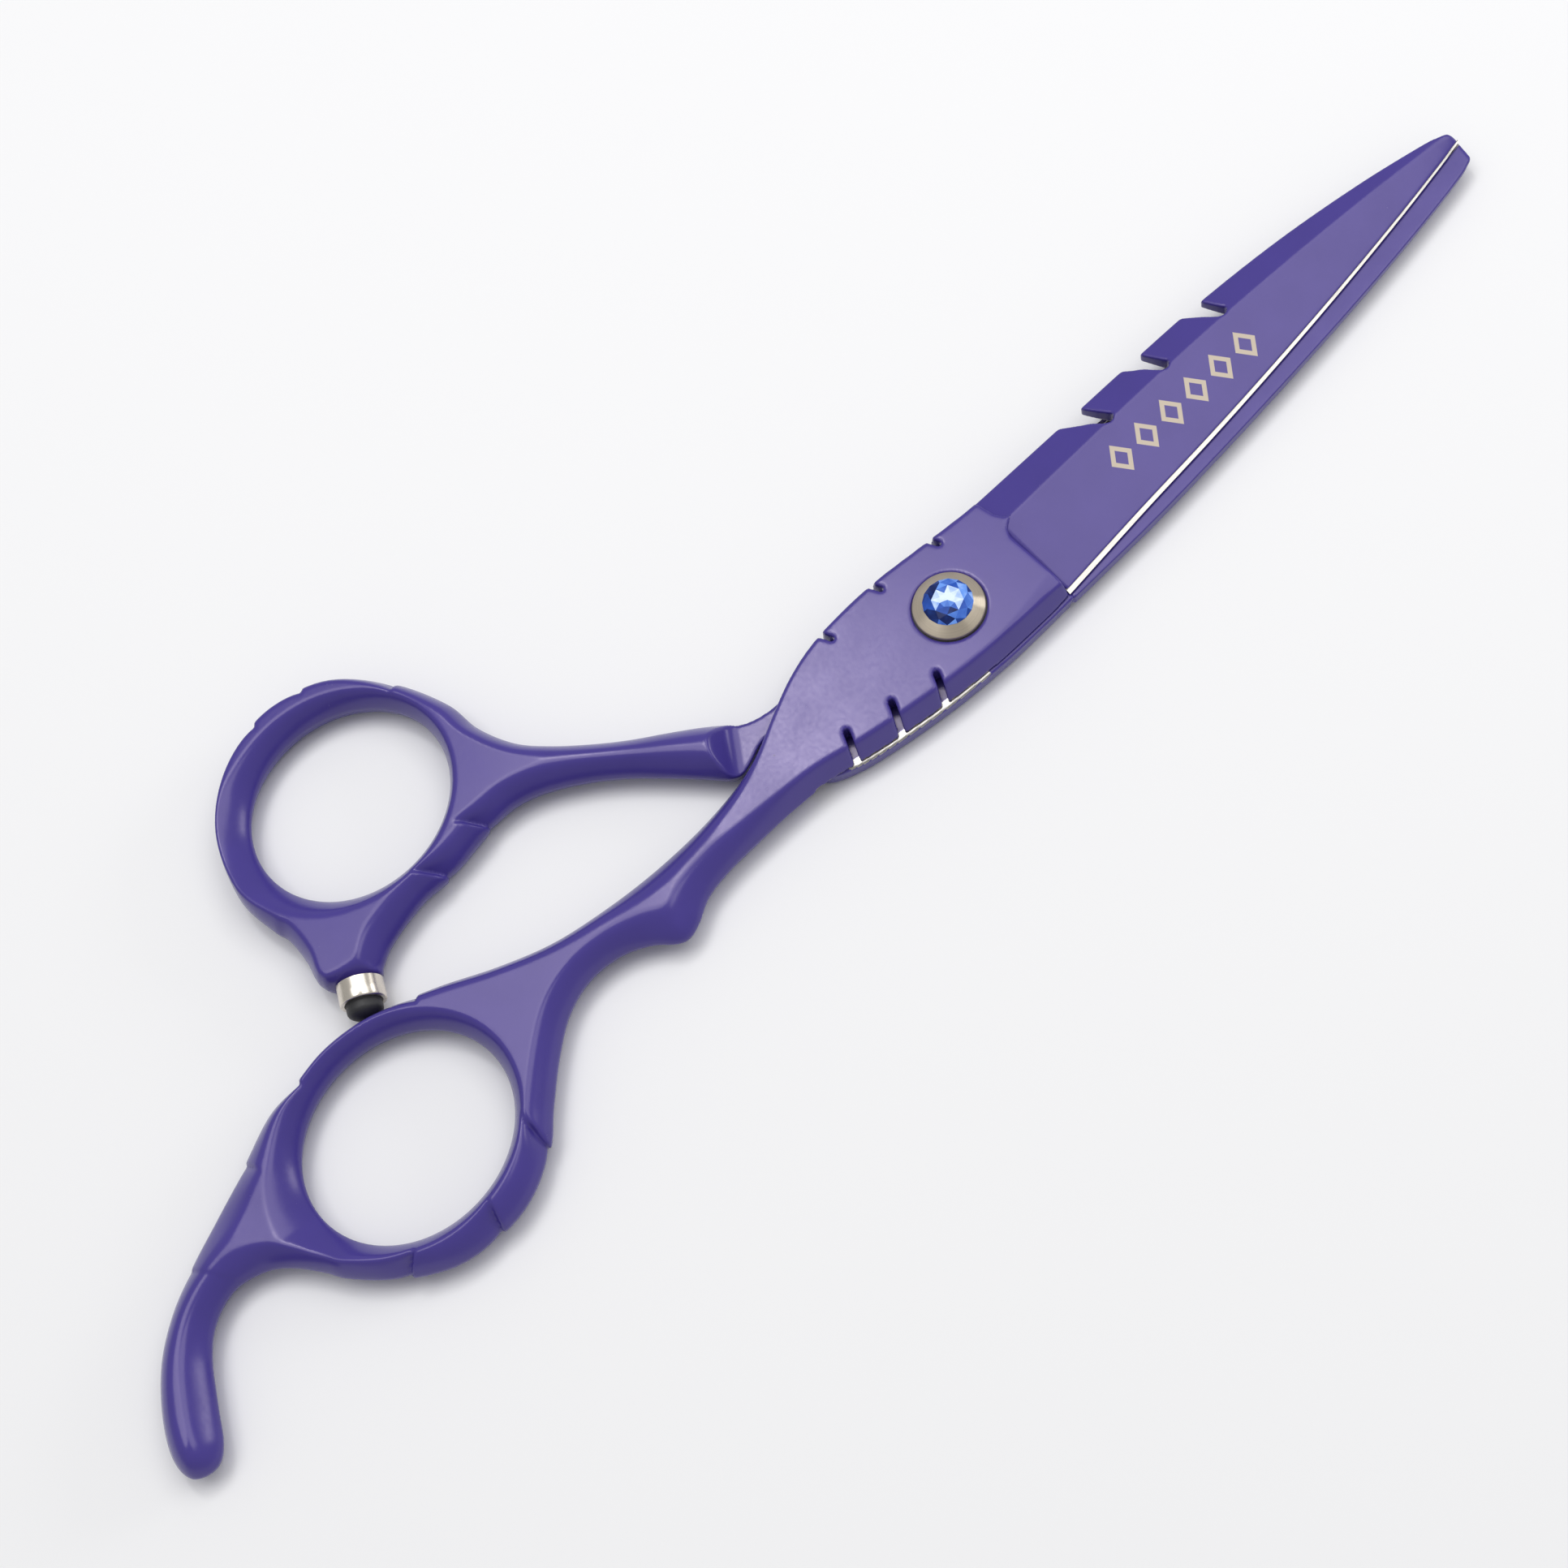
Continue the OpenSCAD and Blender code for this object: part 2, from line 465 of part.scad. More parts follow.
module crystal_cement() {
    color("#d9d6cc") difference() {
        translate([0, 0, rim_z - crystal_depth - cement_t])
            cylinder(d1 = crystal_table_d / 2, d2 = crystal_d + 2 * cement_t, h = crystal_depth + cement_t);
        translate([0, 0, rim_z - crystal_depth])
            cylinder(d1 = crystal_table_d / 2 - cement_t, d2 = crystal_d, h = crystal_depth);
    }
}

module ring_disc(outer_d, inner_d, height) {
    difference() {
        cylinder(d = outer_d, h = height);
        translate([0, 0, -over]) cylinder(d = inner_d, h = height + 2 * over);
    }
}

module head_washer() {
    color("#1c1b1f") translate([0, 0, seat_z])
        ring_disc(2 * seat_r - 2 * seat_fit, neck_d + 2 * seat_fit, head_washer_t);
}

module friction_washer() {
    color("#e6e2d8") translate([0, 0, friction_z]) ring_disc(friction_d, bearing_d + 2 * rim_gap, friction_t);
}

module pivot_bush() {
    color("#b08d57") translate([0, 0, nut_room]) ring_disc(bush_d, bearing_d + 2 * run_fit, friction_z - nut_room);
}

module tension_spring() {
    inner = bearing_d / 2 + run_fit * 2;
    outer = nut_d / 2 - run_fit;
    color("#9a958c") rotate_extrude()
        polygon([[inner, spring_z + spring_rise], [outer, spring_z], [outer, spring_z + spring_t],
            [inner, spring_z + spring_rise + spring_t]]);
}

module tension_nut() {
    color(steel) difference() {
        cylinder(d = nut_d, h = nut_t);
        translate([0, 0, nut_cap]) cylinder(d = thread_d + 2 * run_fit, h = nut_t);
        for (side = [-1, 1])
            translate([side * nut_d / 3, 0, -over]) cylinder(d = spanner_d, h = over + nut_t / 2);
    }
}

module bumper_sleeve() {
    color(steel) bumper_place() difference() {
        union() {
            cylinder(d = sleeve_d, h = sleeve_l);
            translate([0, 0, -stud_l]) cylinder(d = stud_d, h = stud_l + seat_fit);
        }
        translate([0, 0, sleeve_l - pad_socket]) cylinder(d = pad_d + 2 * seat_fit, h = pad_socket + over);
    }
}

module bumper_pad() {
    crown = pad_d / 4;
    color("#232228") bumper_place() rotate_extrude()
        polygon(concat([[0, sleeve_l - pad_socket], [pad_d / 2, sleeve_l - pad_socket]],
            [for (a = [0:10:80]) [pad_d / 2 * cos(a), pad_end - crown + crown * sin(a)]], [[0, pad_end]]));
}

finger_half();
thumb_half();
pivot_screw();
crystal();
crystal_cement();
head_washer();
friction_washer();
pivot_bush();
tension_spring();
tension_nut();
bumper_sleeve();
bumper_pad();
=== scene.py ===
"""Violet hairdressing shears: the dressed pieces, their finishes and the stage, in the CAD frame."""

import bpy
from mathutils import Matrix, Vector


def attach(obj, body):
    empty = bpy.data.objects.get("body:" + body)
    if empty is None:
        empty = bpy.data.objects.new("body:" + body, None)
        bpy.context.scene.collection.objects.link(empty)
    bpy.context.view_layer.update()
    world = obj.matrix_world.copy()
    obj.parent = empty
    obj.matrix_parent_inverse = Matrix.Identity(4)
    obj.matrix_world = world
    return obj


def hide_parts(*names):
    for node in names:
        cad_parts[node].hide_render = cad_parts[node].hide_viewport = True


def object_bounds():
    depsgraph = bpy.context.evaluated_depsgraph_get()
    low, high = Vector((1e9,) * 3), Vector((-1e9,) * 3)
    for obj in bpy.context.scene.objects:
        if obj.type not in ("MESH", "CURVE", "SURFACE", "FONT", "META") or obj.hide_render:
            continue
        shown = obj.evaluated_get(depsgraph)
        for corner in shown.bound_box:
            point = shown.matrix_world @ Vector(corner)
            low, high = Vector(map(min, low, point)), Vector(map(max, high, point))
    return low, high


bl_info = {
    "name": "Violet hairdressing shears",
    "version": (1, 0, 0),
    "blender": (4, 5, 0),
    "location": "3D View > Sidebar > Shears",
    "description": "Builds the forged halves, the pivot, the bumper, their finishes and a studio stage",
    "category": "Object",
}

import bpy
import numpy as np
from mathutils import Matrix

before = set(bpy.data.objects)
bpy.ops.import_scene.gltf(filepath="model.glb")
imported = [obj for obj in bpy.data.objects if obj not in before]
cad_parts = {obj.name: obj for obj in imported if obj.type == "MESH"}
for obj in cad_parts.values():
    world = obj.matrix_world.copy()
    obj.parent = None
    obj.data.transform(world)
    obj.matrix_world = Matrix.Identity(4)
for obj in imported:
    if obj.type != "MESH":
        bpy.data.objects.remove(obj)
CAD_BOX = [list(corner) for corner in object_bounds()]
MM = 0.001

# Lattice pitches in millimetres: along, across and up
FORGING_PITCH = (0.21, 0.21, 0.19)
BLADE_PITCH = (0.2, 0.15, 0.1)
LATTICE_MARGIN = 0.5

# How curves and fields are worked out
CURVE_STEPS = 8
POINTS_AT_ONCE = 4096
BLUR_PASSES = 3
NEWTON_STEPS = 2
NEWTON_REACH = 0.5
LEAST_SQUARED_SLOPE = 1e-4
TINY = 1e-6
CELL_CORNERS = [(i, j, k) for i in (0, 1) for j in (0, 1) for k in (0, 1)]

# Handle outlines in millimetres, anticlockwise and closed past the blades' root: x, y, rounding of the edge
FINGER_LOOP = (
    (30, 6.28, 0.1), (20, 6.32, 0.1), (14, 6.35, 0.2), (9.5, 6.4, 0.4),
    (3, 7, 0.4), (-3, 7.6, 0.4), (-8, 7.6, 0.4), (-12, 7.1, 0.3), (-15.5, 6.1, 0.25),
    (-19, 4.65, 0.3), (-23, 3.05, 0.7), (-27, 2.1, 1.4), (-32, 1.6, 1.9), (-38, 1.7, 2.5),
    (-44, 2.35, 1.6), (-49, 3.4, 1.5), (-54, 5.4, 1.5), (-59, 7.9, 1.4), (-64.2, 10, 1.1),
    (-67.7, 10.9, 1.1), (-71.3, 11.1, 1.1), (-75.1, 10.5, 1.2), (-79, 9.95, 1.7),
    (-84.6, 7.5, 2.9), (-88.5, 5.9, 3.7), (-92.6, 4.2, 2.6), (-96.6, 2.05, 1.9), (-100.1, -0.85, 1.7),
    (-102.8, -4.6, 1.7), (-104.3, -8.2, 1.8), (-104, -10.7, 2), (-101.9, -11.5, 2.3),
    (-100.1, -10.3, 3), (-98.3, -7.1, 3.2), (-96.2, -3.5, 3.1), (-94, -1.3, 2.8),
    (-91, -0.25, 2.5), (-88, -0.95, 2.3), (-85.9, -2.5, 2), (-84, -4.9, 1.8),
    (-82.5, -7.2, 1.7), (-78.6, -11, 1.9), (-73.5, -13.6, 2.2), (-67.3, -13.8, 2.3),
    (-62, -11.5, 2.2), (-58.9, -8.5, 2.2), (-55.4, -5.3, 2.2), (-52, -2.9, 2.2),
    (-48.5, -1.85, 2.2), (-45, -2.2, 2.3), (-42.3, -3.55, 2.8), (-40.6, -5.1, 3.4),
    (-39.3, -5.6, 3.7), (-37.6, -5.1, 3.3), (-35.3, -3.9, 2.6), (-32, -3.35, 2.3),
    (-28, -3.3, 1.8), (-24, -3.4, 1.4), (-20, -3.75, 1.2), (-15, -4.85, 1.1),
    (-10, -5.75, 1.1), (-5, -6.45, 1.1), (0, -6.85, 1.1), (5, -6.9, 1.1), (9, -6.75, 1.1),
    (13, -6.35, 0.3), (20, -5.7, 0.1), (30, -5, 0.1),
)
THUMB_LOOP = (
    (30.2, 4.2, 0.1), (20.3, 4.8, 0.1), (13, 5.3, 0.2), (8, 5.9, 0.4),
    (3, 6.4, 0.4), (-3, 6.9, 0.4), (-8, 6.9, 0.4), (-12, 6.5, 0.4), (-16.5, 5.9, 0.4),
    (-19.5, 6.1, 0.6), (-21.7, 7.05, 1.8), (-24, 9, 2.4), (-27, 11.25, 2.3), (-30, 13.4, 2.2),
    (-33, 15.9, 2), (-36, 18.8, 1.7), (-38.2, 21.6, 1.6), (-39.7, 25.5, 1.5),
    (-40.2, 29.8, 1.5), (-42.7, 35.6, 1.3), (-47.2, 40.6, 1.1), (-53.8, 42.3, 0.9),
    (-60.3, 40.4, 0.8), (-65.2, 35.8, 0.7), (-67.6, 29.1, 0.7), (-67.2, 24.1, 1.4),
    (-66.7, 22.2, 1.5), (-66.8, 19.3, 1.5), (-67.25, 17.3, 1.2), (-67.25, 16.1, 0.9),
    (-66.5, 14.9, 0.8), (-62.8, 13, 2.2), (-61.7, 13.6, 2.4), (-59.5, 14.7, 2.5),
    (-54.9, 15.7, 2.1), (-51.2, 15.6, 1.9), (-47.2, 16.3, 1.9), (-45.3, 16.5, 1.9),
    (-42.5, 16.6, 2), (-39.5, 15.6, 2.1), (-36, 13.4, 2.1), (-33, 10.9, 2.2),
    (-30.5, 8.3, 2.3), (-28, 5.5, 2.4), (-26.8, 4.05, 2.4), (-25.9, 3.2, 2),
    (-24.8, 2.9, 1), (-23.4, 3.25, 0.4), (-21.8, 3.85, 0.3), (-20.6, 3.9, 0.3), (-20.1, 2.8, 0.3),
    (-20.3, 0.7, 0.3), (-20.2, -1.4, 0.3), (-19.6, -3.3, 0.3), (-16.5, -4.75, 0.3), (-12, -5.75, 0.3),
    (-6, -6.65, 0.3), (0, -7.1, 0.3), (5, -7.15, 0.35), (9, -7.1, 0.4), (13, -7.05, 0.3),
    (20.3, -6.9, 0.2), (30.2, -6.4, 0.2),
)

# Ring holes in millimetres: centre and half axes
FINGER_HOLE = ((-70.4, -0.8), (10.6, 9.45))
THUMB_HOLE = ((-53.65, 28.8), (10.4, 9.6))

# Flanks round the holes: way from the hole's centre in degrees, share of the hole rounding
FINGER_FLANK = (
    (-180, 2.9), (-160, 2.1), (-140, 1.3), (-90, 1), (-30, 1), (30, 1.05), (100, 1.2), (140, 1.5),
    (160, 2.2), (180, 2.9),
)
THUMB_FLANK = (
    (-180, 2.1), (-150, 1.7), (-110, 1.2), (-60, 0.9), (-20, 0.75), (20, 0.8), (60, 1), (110, 1.3),
    (135, 1.8), (155, 2.2), (180, 2.1),
)

# Scallop grooves: x, y, way across the groove in degrees, share of the full bite
FINGER_GROOVES = (
    (-61.6, -9.6, -7, 1), (-69.5, -13.4, -25, 1), (-78, -10.8, -66, 1),
    (-74.8, 10.6, 20, 0.5), (-82.9, 7.4, 25, 0.5), (-92.9, 3.9, 35, 0.3), (-61.3, 8.6, -20, 0.5),
)
THUMB_GROOVES = (
    (-46.5, 17.6, -133, 1), (-52.2, 16.4, -133, 1),
    (-49.4, 41.5, -20, 0.5), (-55.5, 42.2, 10, 0.5), (-42.3, 35.2, -40, 0.5),
)

# Slots and nicks in the pivot plate: lines of x, y
PLATE_SLOTS = (
    ((-15.5, -2.1), (-15.9, -3), (-16.4, -4), (-17.2, -5.7)),
    ((-10.5, -3), (-10.9, -3.9), (-11.6, -5.2), (-12.6, -7)),
    ((-5.6, -4), (-6, -4.9), (-6.7, -6.1), (-7.7, -8)),
)
PLATE_NICKS = (
    ((-10.7, 8.6), (-10.4, 7.1), (-10.2, 6.6), (-9.9, 5.9)),
    ((-3.8, 9), (-3.6, 7.5), (-3.4, 6.9), (-3.1, 6.2)),
    ((3.3, 8.6), (3.5, 7), (3.7, 6.3), (4, 5.6)),
)

# Spine notches of the upper blade: closed outlines of x, y
SPINE_NOTCHES = (
    ((20.8, 6.3), (22.2, 5), (23.2, 4.1), (23.9, 3.2), (24.4, 2.85), (24.95, 2.9), (25.25, 3.3),
     (24.9, 4), (23.8, 6.2), (23.4, 7.6), (19.4, 7.6)),
    ((29.4, 6.3), (30.2, 5.4), (30.9, 4.7), (31.6, 3.6), (32.05, 3.1), (32.6, 3), (33.05, 3.4),
     (32.8, 4), (31.9, 6.2), (31.4, 7.6), (28.2, 7.6)),
    ((37.6, 6.1), (38.4, 5.2), (39, 4.5), (39.6, 3.7), (40.1, 3.2), (40.7, 3.1), (41.15, 3.5),
     (40.9, 4.1), (40.2, 5.9), (39.8, 7.4), (36.4, 7.4)),
)

# Blade lines: x, cutting edge, ridge, spine, and the columns of the last three
EDGE, RIDGE, SPINE = 1, 2, 3
UPPER_LINES = (
    (7.4, -6.7, 2.6, 6.45), (9.2, -6.65, 2.6, 6.4), (20.3, -5.7, 2.85, 6.3), (30.1, -5, 3, 6.25),
    (40, -4.1, 2.95, 6.05), (50.4, -2.95, 2.6, 5.25), (60.2, -1.65, 2.05, 3.85),
    (67.6, -0.5, 1.4, 2.35), (69.4, -0.15, 1.28, 1.8), (70.3, 0, 1.1, 1.45), (71.5, 0.2, 0.7, 1),
)
LOWER_LINES = (
    (7.4, 5.25, -3.2, -7.1), (9.2, 5.2, -3.2, -7.1), (20.3, 4.8, -3.2, -6.9),
    (30.1, 4.2, -3, -6.4), (40, 3.4, -2.7, -5.7), (50.4, 2.2, -2.2, -4.8),
    (60.2, 1, -1.6, -3.7), (67.6, 0.6, -1.2, -2.62), (69.6, 0.6, -1, -2.1), (70.3, 0.6, -0.9, -1.85),
    (71.5, 0.6, -0.7, -1.4),
)

# Near rim of the lower plate where it is ground bare
NEAR_RIM = ((-17.5, -4.4), (-12, -5.75), (-6, -6.65), (-1.5, -7))

# Front of the pivot plate: where the ground faces of the upper blade begin, by y
MAIN_FACE_START = ((-9, 9.2), (1, 9.2), (1.9, 9.6), (2.5, 10.6), (2.8, 12), (7, 13))
SPINE_FACE_START = ((-9, 14), (2.3, 12), (2.6, 11), (3, 10.3), (4, 9.8), (5.8, 9.5), (9, 9.5))

# Places in millimetres
BLADE_START = 9.2
BLADE_END = 70.75
BURIED_START = 8.4
BURIED_END = 11.8
BURIED_INSET = 0.25
PLATE_BLEND = {"finger": (-31, -19), "thumb": (-25.5, -20.5)}
PLATE_CHAMFER = {"start": -1.0, "run": 9.8, "depth": 1.1, "gain": 1.3, "slope": 0.35}
HEEL_RADIUS = 21.5
SHOULDER_FOOT = (-23.85, 5.4)
SHOULDER_WAY = (0.829, -0.559)
SHOULDER_FILLET = 0.9
SPUR_END = (-64.39, 14.03)
BUMPER_WAY = (-0.454, -0.891)
SEAT = {"radius": 3.6, "floor": 4.4, "bore": 2.33}
NUT_ROOM = {"radius": 3.9, "roof": 1.31, "bush": 2.81, "washer": 4.55, "washer_floor": 2.05}

# Lattice boxes in millimetres, of the handle and of the blade: low corner, high corner
FINGER_BOXES = (
    ((-104.3, -14.2, 0), (BURIED_END, 11.4, 5)),
    ((BURIED_START, -6.9, 2.5), (BLADE_END, 6.5, 4.6)),
)
THUMB_BOXES = (
    ((-67.8, -7.4, 0), (BURIED_END, 42.6, 5)),
    ((BURIED_START, -7.3, 0.4), (BLADE_END, 5.6, 2.5)),
)

# Widths in millimetres over which faces meet softly
SOFT_RIDGE = 0.1
SOFT_EDGE = 0.22
SOFT_CORNER = 0.35

# Rounded edges: powers of their curves, the lower side's share, and where and how widely they are evened out
EDGE_FULLNESS = 1.35
FLANK_FULLNESS = 1.3
LOW_FULLNESS = 1.6
LOW_SHARE = 0.75
PLATEAU_DEPTHS = (0.8, 2)
PLATEAU_CELLS = 2
ROUNDING_CELLS = 6

# Scallop grooves: length, wall, share of the bite on the lower side, and the heights where that grows to all
GROOVE_LENGTH = 3.2
GROOVE_WALL = 0.1
GROOVE_LOW = 0.45
GROOVE_FADE = (-0.2, 0.6)

# Blades: set-back of the inner face, lean of the tip, the cutting bevel and its corners in bevel widths
BLADE_RELIEF = 0.1
TIP_LEAN = 0.25
BEVEL = {"taper": 0.62, "slope": 0.36, "end": 0.1, "pitch": 0.4, "proud": 0.02}
BEVEL_CORNERS = (0, 1, 1.5, 1.5)

# Bare steel: band at the near rim, share of the blade in its ride, and how near and square a bare face lies
RIM_BAND = 0.9
RIM_NEAR = 0.1
RIM_SQUARE = 0.3
RIDE_SHARE = 0.26
FACE_NEAR = 0.06
FACE_SQUARE = 0.5

# Axes of an upright turned piece: origin and three ways
UPRIGHT = ((0, 0, 0), (1, 0, 0), (0, 1, 0), (0, 0, 1))

# Pivot screw in millimetres: radius and height along the shank, steps from the head's radius, and the cup
SCREW_SHANK = (
    (0, 0.38), (1.6, 0.38), (1.7, 0.48), (1.7, 1.31), (2, 1.31), (2, 2.55), (2.3, 2.55), (2.3, 4.7),
)
HEAD_SIDE = ((-0.06, 4.7), (0, 4.76), (0, 5.17), (-0.03, 5.22), (-0.1, 5.28))
CUP = {"inset": 0.03, "rim": 5.93, "floor": 5.05}

# Bumper in millimetres from the spur's end: radius and height of the stud, steps from the sleeve and the pad
SLEEVE_STUD = ((0, -2.4), (0.9, -2.4), (1, -2.3), (1, 0))
SLEEVE_SIDE = ((-0.1, 0), (0, 0.1), (0, 1.1), (0, 2.06), (-0.05, 2.16), (-0.14, 2.2))
SLEEVE_MOUTH = ((0.1, 2.2), (0.01, 2.12), (0.01, 1.1))
PAD_SIDE = ((-0.1, 1.11), (0, 1.21), (0, 2.24), (-0.04, 2.3), (0, 2.38))
PAD_END = 3.8
DOME_STEP = 10

# Crystal: corners of its table, and in millimetres its heights and how far its star and its foot reach out
CRYSTAL_CORNERS = 8
CRYSTAL = {"foot": 5.15, "rim": 5.95, "star": 6.22, "top": 6.4, "star_out": 0.06, "foot_out": 0.2}

# Sides of the crystal where its facets get painted shade: way in radians, and the cosines between which the
# painted shade sets in
PAINTED_SHADE_NEAR = (-2.38, 0.3, 0.85)
PAINTED_SHADE_SIDE = (2.4, 0.2, 0.9)

# Painted reflection on the facets, from painted shade to painted highlight: plain tint, changes in turn, loss
# to painted shade on the side, loss to painted shade near
CORNER_PAINTED_LIGHT = (
    (1, (0,), 0, 0.5),
    (0.98, (0,), 0, 0.75),
    (0.66, (0, -0.22, -0.44), 0.4, 0.3),
)
EDGE_PAINTED_LIGHT = (
    (0.88, (0, -0.45, 0, 0), 0, 0.65),
    (0.3, (0, 0.4), 0.4, 0.2),
    (0.15, (0, 0.55), 0.4, 0),
    (0.55, (0, -0.4), 0.4, 0),
)
# Painted shade level of the faces below the girdle
PAVILION_PAINTED_LIGHT = 0.2

# Levels of painted facet light at which the crystal is dark, deep, bright and pale
CRYSTAL_STOPS = (0, 0.35, 0.7, 1)

# Etched row on the upper blade: places in millimetres, shares of a lozenge where its line lies, and the mark
LOZENGES = {
    "start": 20.9, "pitch": 3.4, "count": 6, "middle": -0.5, "above": 2.75,
    "half_length": 1.35, "half_width": 1.7, "inner": 0.56, "outer": 0.98,
    "strength": 0.9, "roughness": 0.1,
}

# Dark specks in the paint: waves a metre, size and softness in waves, strength and tone
SPECKS = {"waves": 75, "size": 0.012, "softness": 0.006, "strength": 0.6, "tone": (0.02, 0.016, 0.06)}

# Moulded pieces: grains a cloud, and how the clouds lighten the tone
CLOUD_GRAINS = 8
CLOUD_GAIN = 1.5
CLOUD_LIFT = 0.01

# Sockets of a colour mix: factor, two colours and their mixture
MIX_FACTOR, MIX_FIRST, MIX_SECOND, MIX_RESULT = 0, 6, 7, 2

# Waves a metre along the axes of the scratches on the ride, the bevels, the bush, the spring and the sleeve
RIDE_SCRATCHES = (120, 5200, 5200)
BEVEL_SCRATCHES = (150, 6000, 6000)
BUSH_SCRATCHES = (3000, 3000, 150)
SPRING_SCRATCHES = (900, 900, 900)
SLEEVE_SCRATCHES = (900, 900, 2500)

# Lamps in metres: name, place, target, size, share of the lamp power
LAMPS = (
    ("blade_softbox", (0.36, 0, 0.68), (0.36, 0, 0), (0.48, 0.66), 0.5),
    ("handle_softbox", (-0.115, 0.2, 0.68), (-0.115, 0.2, 0), (0.47, 0.36), 0.35),
    ("key_panel", (0.085, 0.29, 0.67), (0.085, 0.29, 0), (0.1, 0.2), 0.13),
    ("side_panel", (0.6, -0.18, 0.22), (0, 0, 0), (0.14, 0.24), 0.1),
)

# Floor: reach in metres and gap under the shears in millimetres
FLOOR_REACH = 3.0
FLOOR_GAP = 0.02

# Photograph's viewpoint, from the camera match: place in millimetres, unit ways, focal length
CAMERA_PLACE = (-53.72, -87.57, 212.43)
CAMERA_RIGHT = (0.72409, -0.66846, -0.16987)
CAMERA_UP = (0.67641, 0.64012, 0.36429)
CAMERA_BACK = (-0.13478, -0.37868, 0.91566)
CAMERA_FOCAL_PIXELS = 3000
PHOTO_PIXELS = 1932
SENSOR_WIDTH = 36


def length(name, description, default):
    """A length in metres as a property."""
    return bpy.props.FloatProperty(
        name=name, description=description, default=default, min=0, precision=5, unit="LENGTH")


def share(name, description, default):
    """A share from none to all as a property."""
    return bpy.props.FloatProperty(
        name=name, description=description, default=default, min=0, max=1, subtype="FACTOR")


def colour(name, description, default):
    """A linear colour as a property."""
    return bpy.props.FloatVectorProperty(
        name=name, description=description, default=default, min=0, max=1, size=3, subtype="COLOR")


class ShearsSizes(bpy.types.PropertyGroup):
    """Sizes of the dressed pieces."""

    plate_height: length("Plate height", "Height of the handles and the pivot plate", 0.005)
    mating_gap: length("Mating gap", "Gap between the two halves", 0.0001)
    ridge_thickness: length("Ridge thickness", "Blade thickness at its ridge", 0.0022)
    spine_thickness: length("Spine thickness", "Blade thickness at its spine", 0.0014)
    tip_thickness: length("Tip thickness", "Blade thickness at its tip", 0.0007)
    edge_thickness: length("Edge thickness", "Blade thickness behind the cutting bevel", 0.00016)
    edge_bevel: length("Cutting bevel", "Width of the bare cutting bevel at its root", 0.00045)
    hole_rounding: length("Hole rounding", "Rounding round the ring holes", 0.0015)
    groove_bite: length("Groove bite", "Depth of the scallop grooves on the rings", 0.0009)
    groove_spread: length("Groove spread", "How far a scallop takes to swell after its groove", 0.0014)
    slot_width: length("Slot width", "Width of the three slots in the pivot plate", 0.00062)
    nick_width: length("Nick width", "Width of the three nicks in the far edge", 0.00052)
    shoulder_run: length("Shoulder run", "How far the thumb shoulder leans back over its height", 0.002)
    head_diameter: length("Head diameter", "Diameter of the pivot screw's head", 0.007)
    crystal_diameter: length("Crystal diameter", "Diameter of the crystal at its girdle", 0.0049)
    table_diameter: length("Table diameter", "Diameter of the crystal's flat top", 0.0031)
    sleeve_diameter: length("Sleeve diameter", "Diameter of the bumper's sleeve", 0.0045)
    pad_diameter: length("Pad diameter", "Diameter of the bumper's rubber pad", 0.0035)


class ShearsFinish(bpy.types.PropertyGroup):
    """Colours and finishes of the dressed pieces and the stage."""

    paint: colour("Paint", "Violet of the satin paint", (0.056, 0.04, 0.252))
    paint_glint: colour("Paint glint", "Tint of the light that glances off the paint", (1, 0.9, 1))
    paint_shade: colour("Paint shade", "Deeper violet that mottles the paint", (0.05, 0.036, 0.23))
    steel: colour("Bare steel", "Ground faces and cutting bevels", (0.5, 0.48, 0.45))
    nickel: colour("Nickel", "Screw head and nut", (0.56, 0.49, 0.39))
    sleeve: colour("Sleeve", "Bright plated sleeve of the bumper", (0.8, 0.74, 0.65))
    mark: colour("Etched mark", "Champagne lozenges etched through the paint", (0.58, 0.5, 0.36))
    # The crystal's four blues are laid on the facets as painted reflection: the pale one is painted
    # highlight, the dark one painted shade
    crystal_pale: colour("Crystal pale", "Lightest facets of the crystal", (0.74, 0.87, 0.96))
    crystal_bright: colour("Crystal bright", "Bright blue facets of the crystal", (0.16, 0.34, 0.86))
    crystal_deep: colour("Crystal deep", "Deep blue facets of the crystal", (0.03, 0.1, 0.48))
    crystal_dark: colour("Crystal dark", "Darkest facets of the crystal", (0.01, 0.02, 0.1))
    rubber: colour("Rubber", "Bumper pad", (0.012, 0.012, 0.014))
    cement: colour("Cement", "Bed of the crystal", (0.7, 0.68, 0.6))
    black_nylon: colour("Black nylon", "Washer under the screw's head", (0.012, 0.011, 0.014))
    pale_nylon: colour("Pale nylon", "Washer between the halves", (0.78, 0.75, 0.68))
    bronze: colour("Bronze", "Pivot bush", (0.5, 0.34, 0.14))
    spring: colour("Spring steel", "Tension spring", (0.42, 0.4, 0.37))
    paint_roughness: share("Paint roughness", "How matt the paint is", 0.23)
    floor: colour("Floor", "Colour of the studio floor", (0.85, 0.85, 0.86))
    lamp_power: bpy.props.FloatProperty(
        name="Lamp power", description="Power of which each lamp takes its share", default=4.5, min=0,
        unit="POWER")
    world_light: bpy.props.FloatProperty(
        name="Room light", description="Strength of the even light all round", default=0.45, min=0)


def millimetres(value):
    """A length property in millimetres."""
    return value / MM


def middle(sizes):
    """Height of the plate's middle in millimetres."""
    return millimetres(sizes.plate_height) / 2


def mating_level(sizes, side):
    """Height of a half's mating face in millimetres: side 1 is the upper half and side -1 the lower one."""
    return middle(sizes) + side * millimetres(sizes.mating_gap) / 2


# Arrays and curves

def smooth_step(low, high, value):
    """Zero at low, one at high and a cubic with level ends between them."""
    part = np.clip((value - low) / (high - low), 0, 1)
    return part * part * (3 - 2 * part)


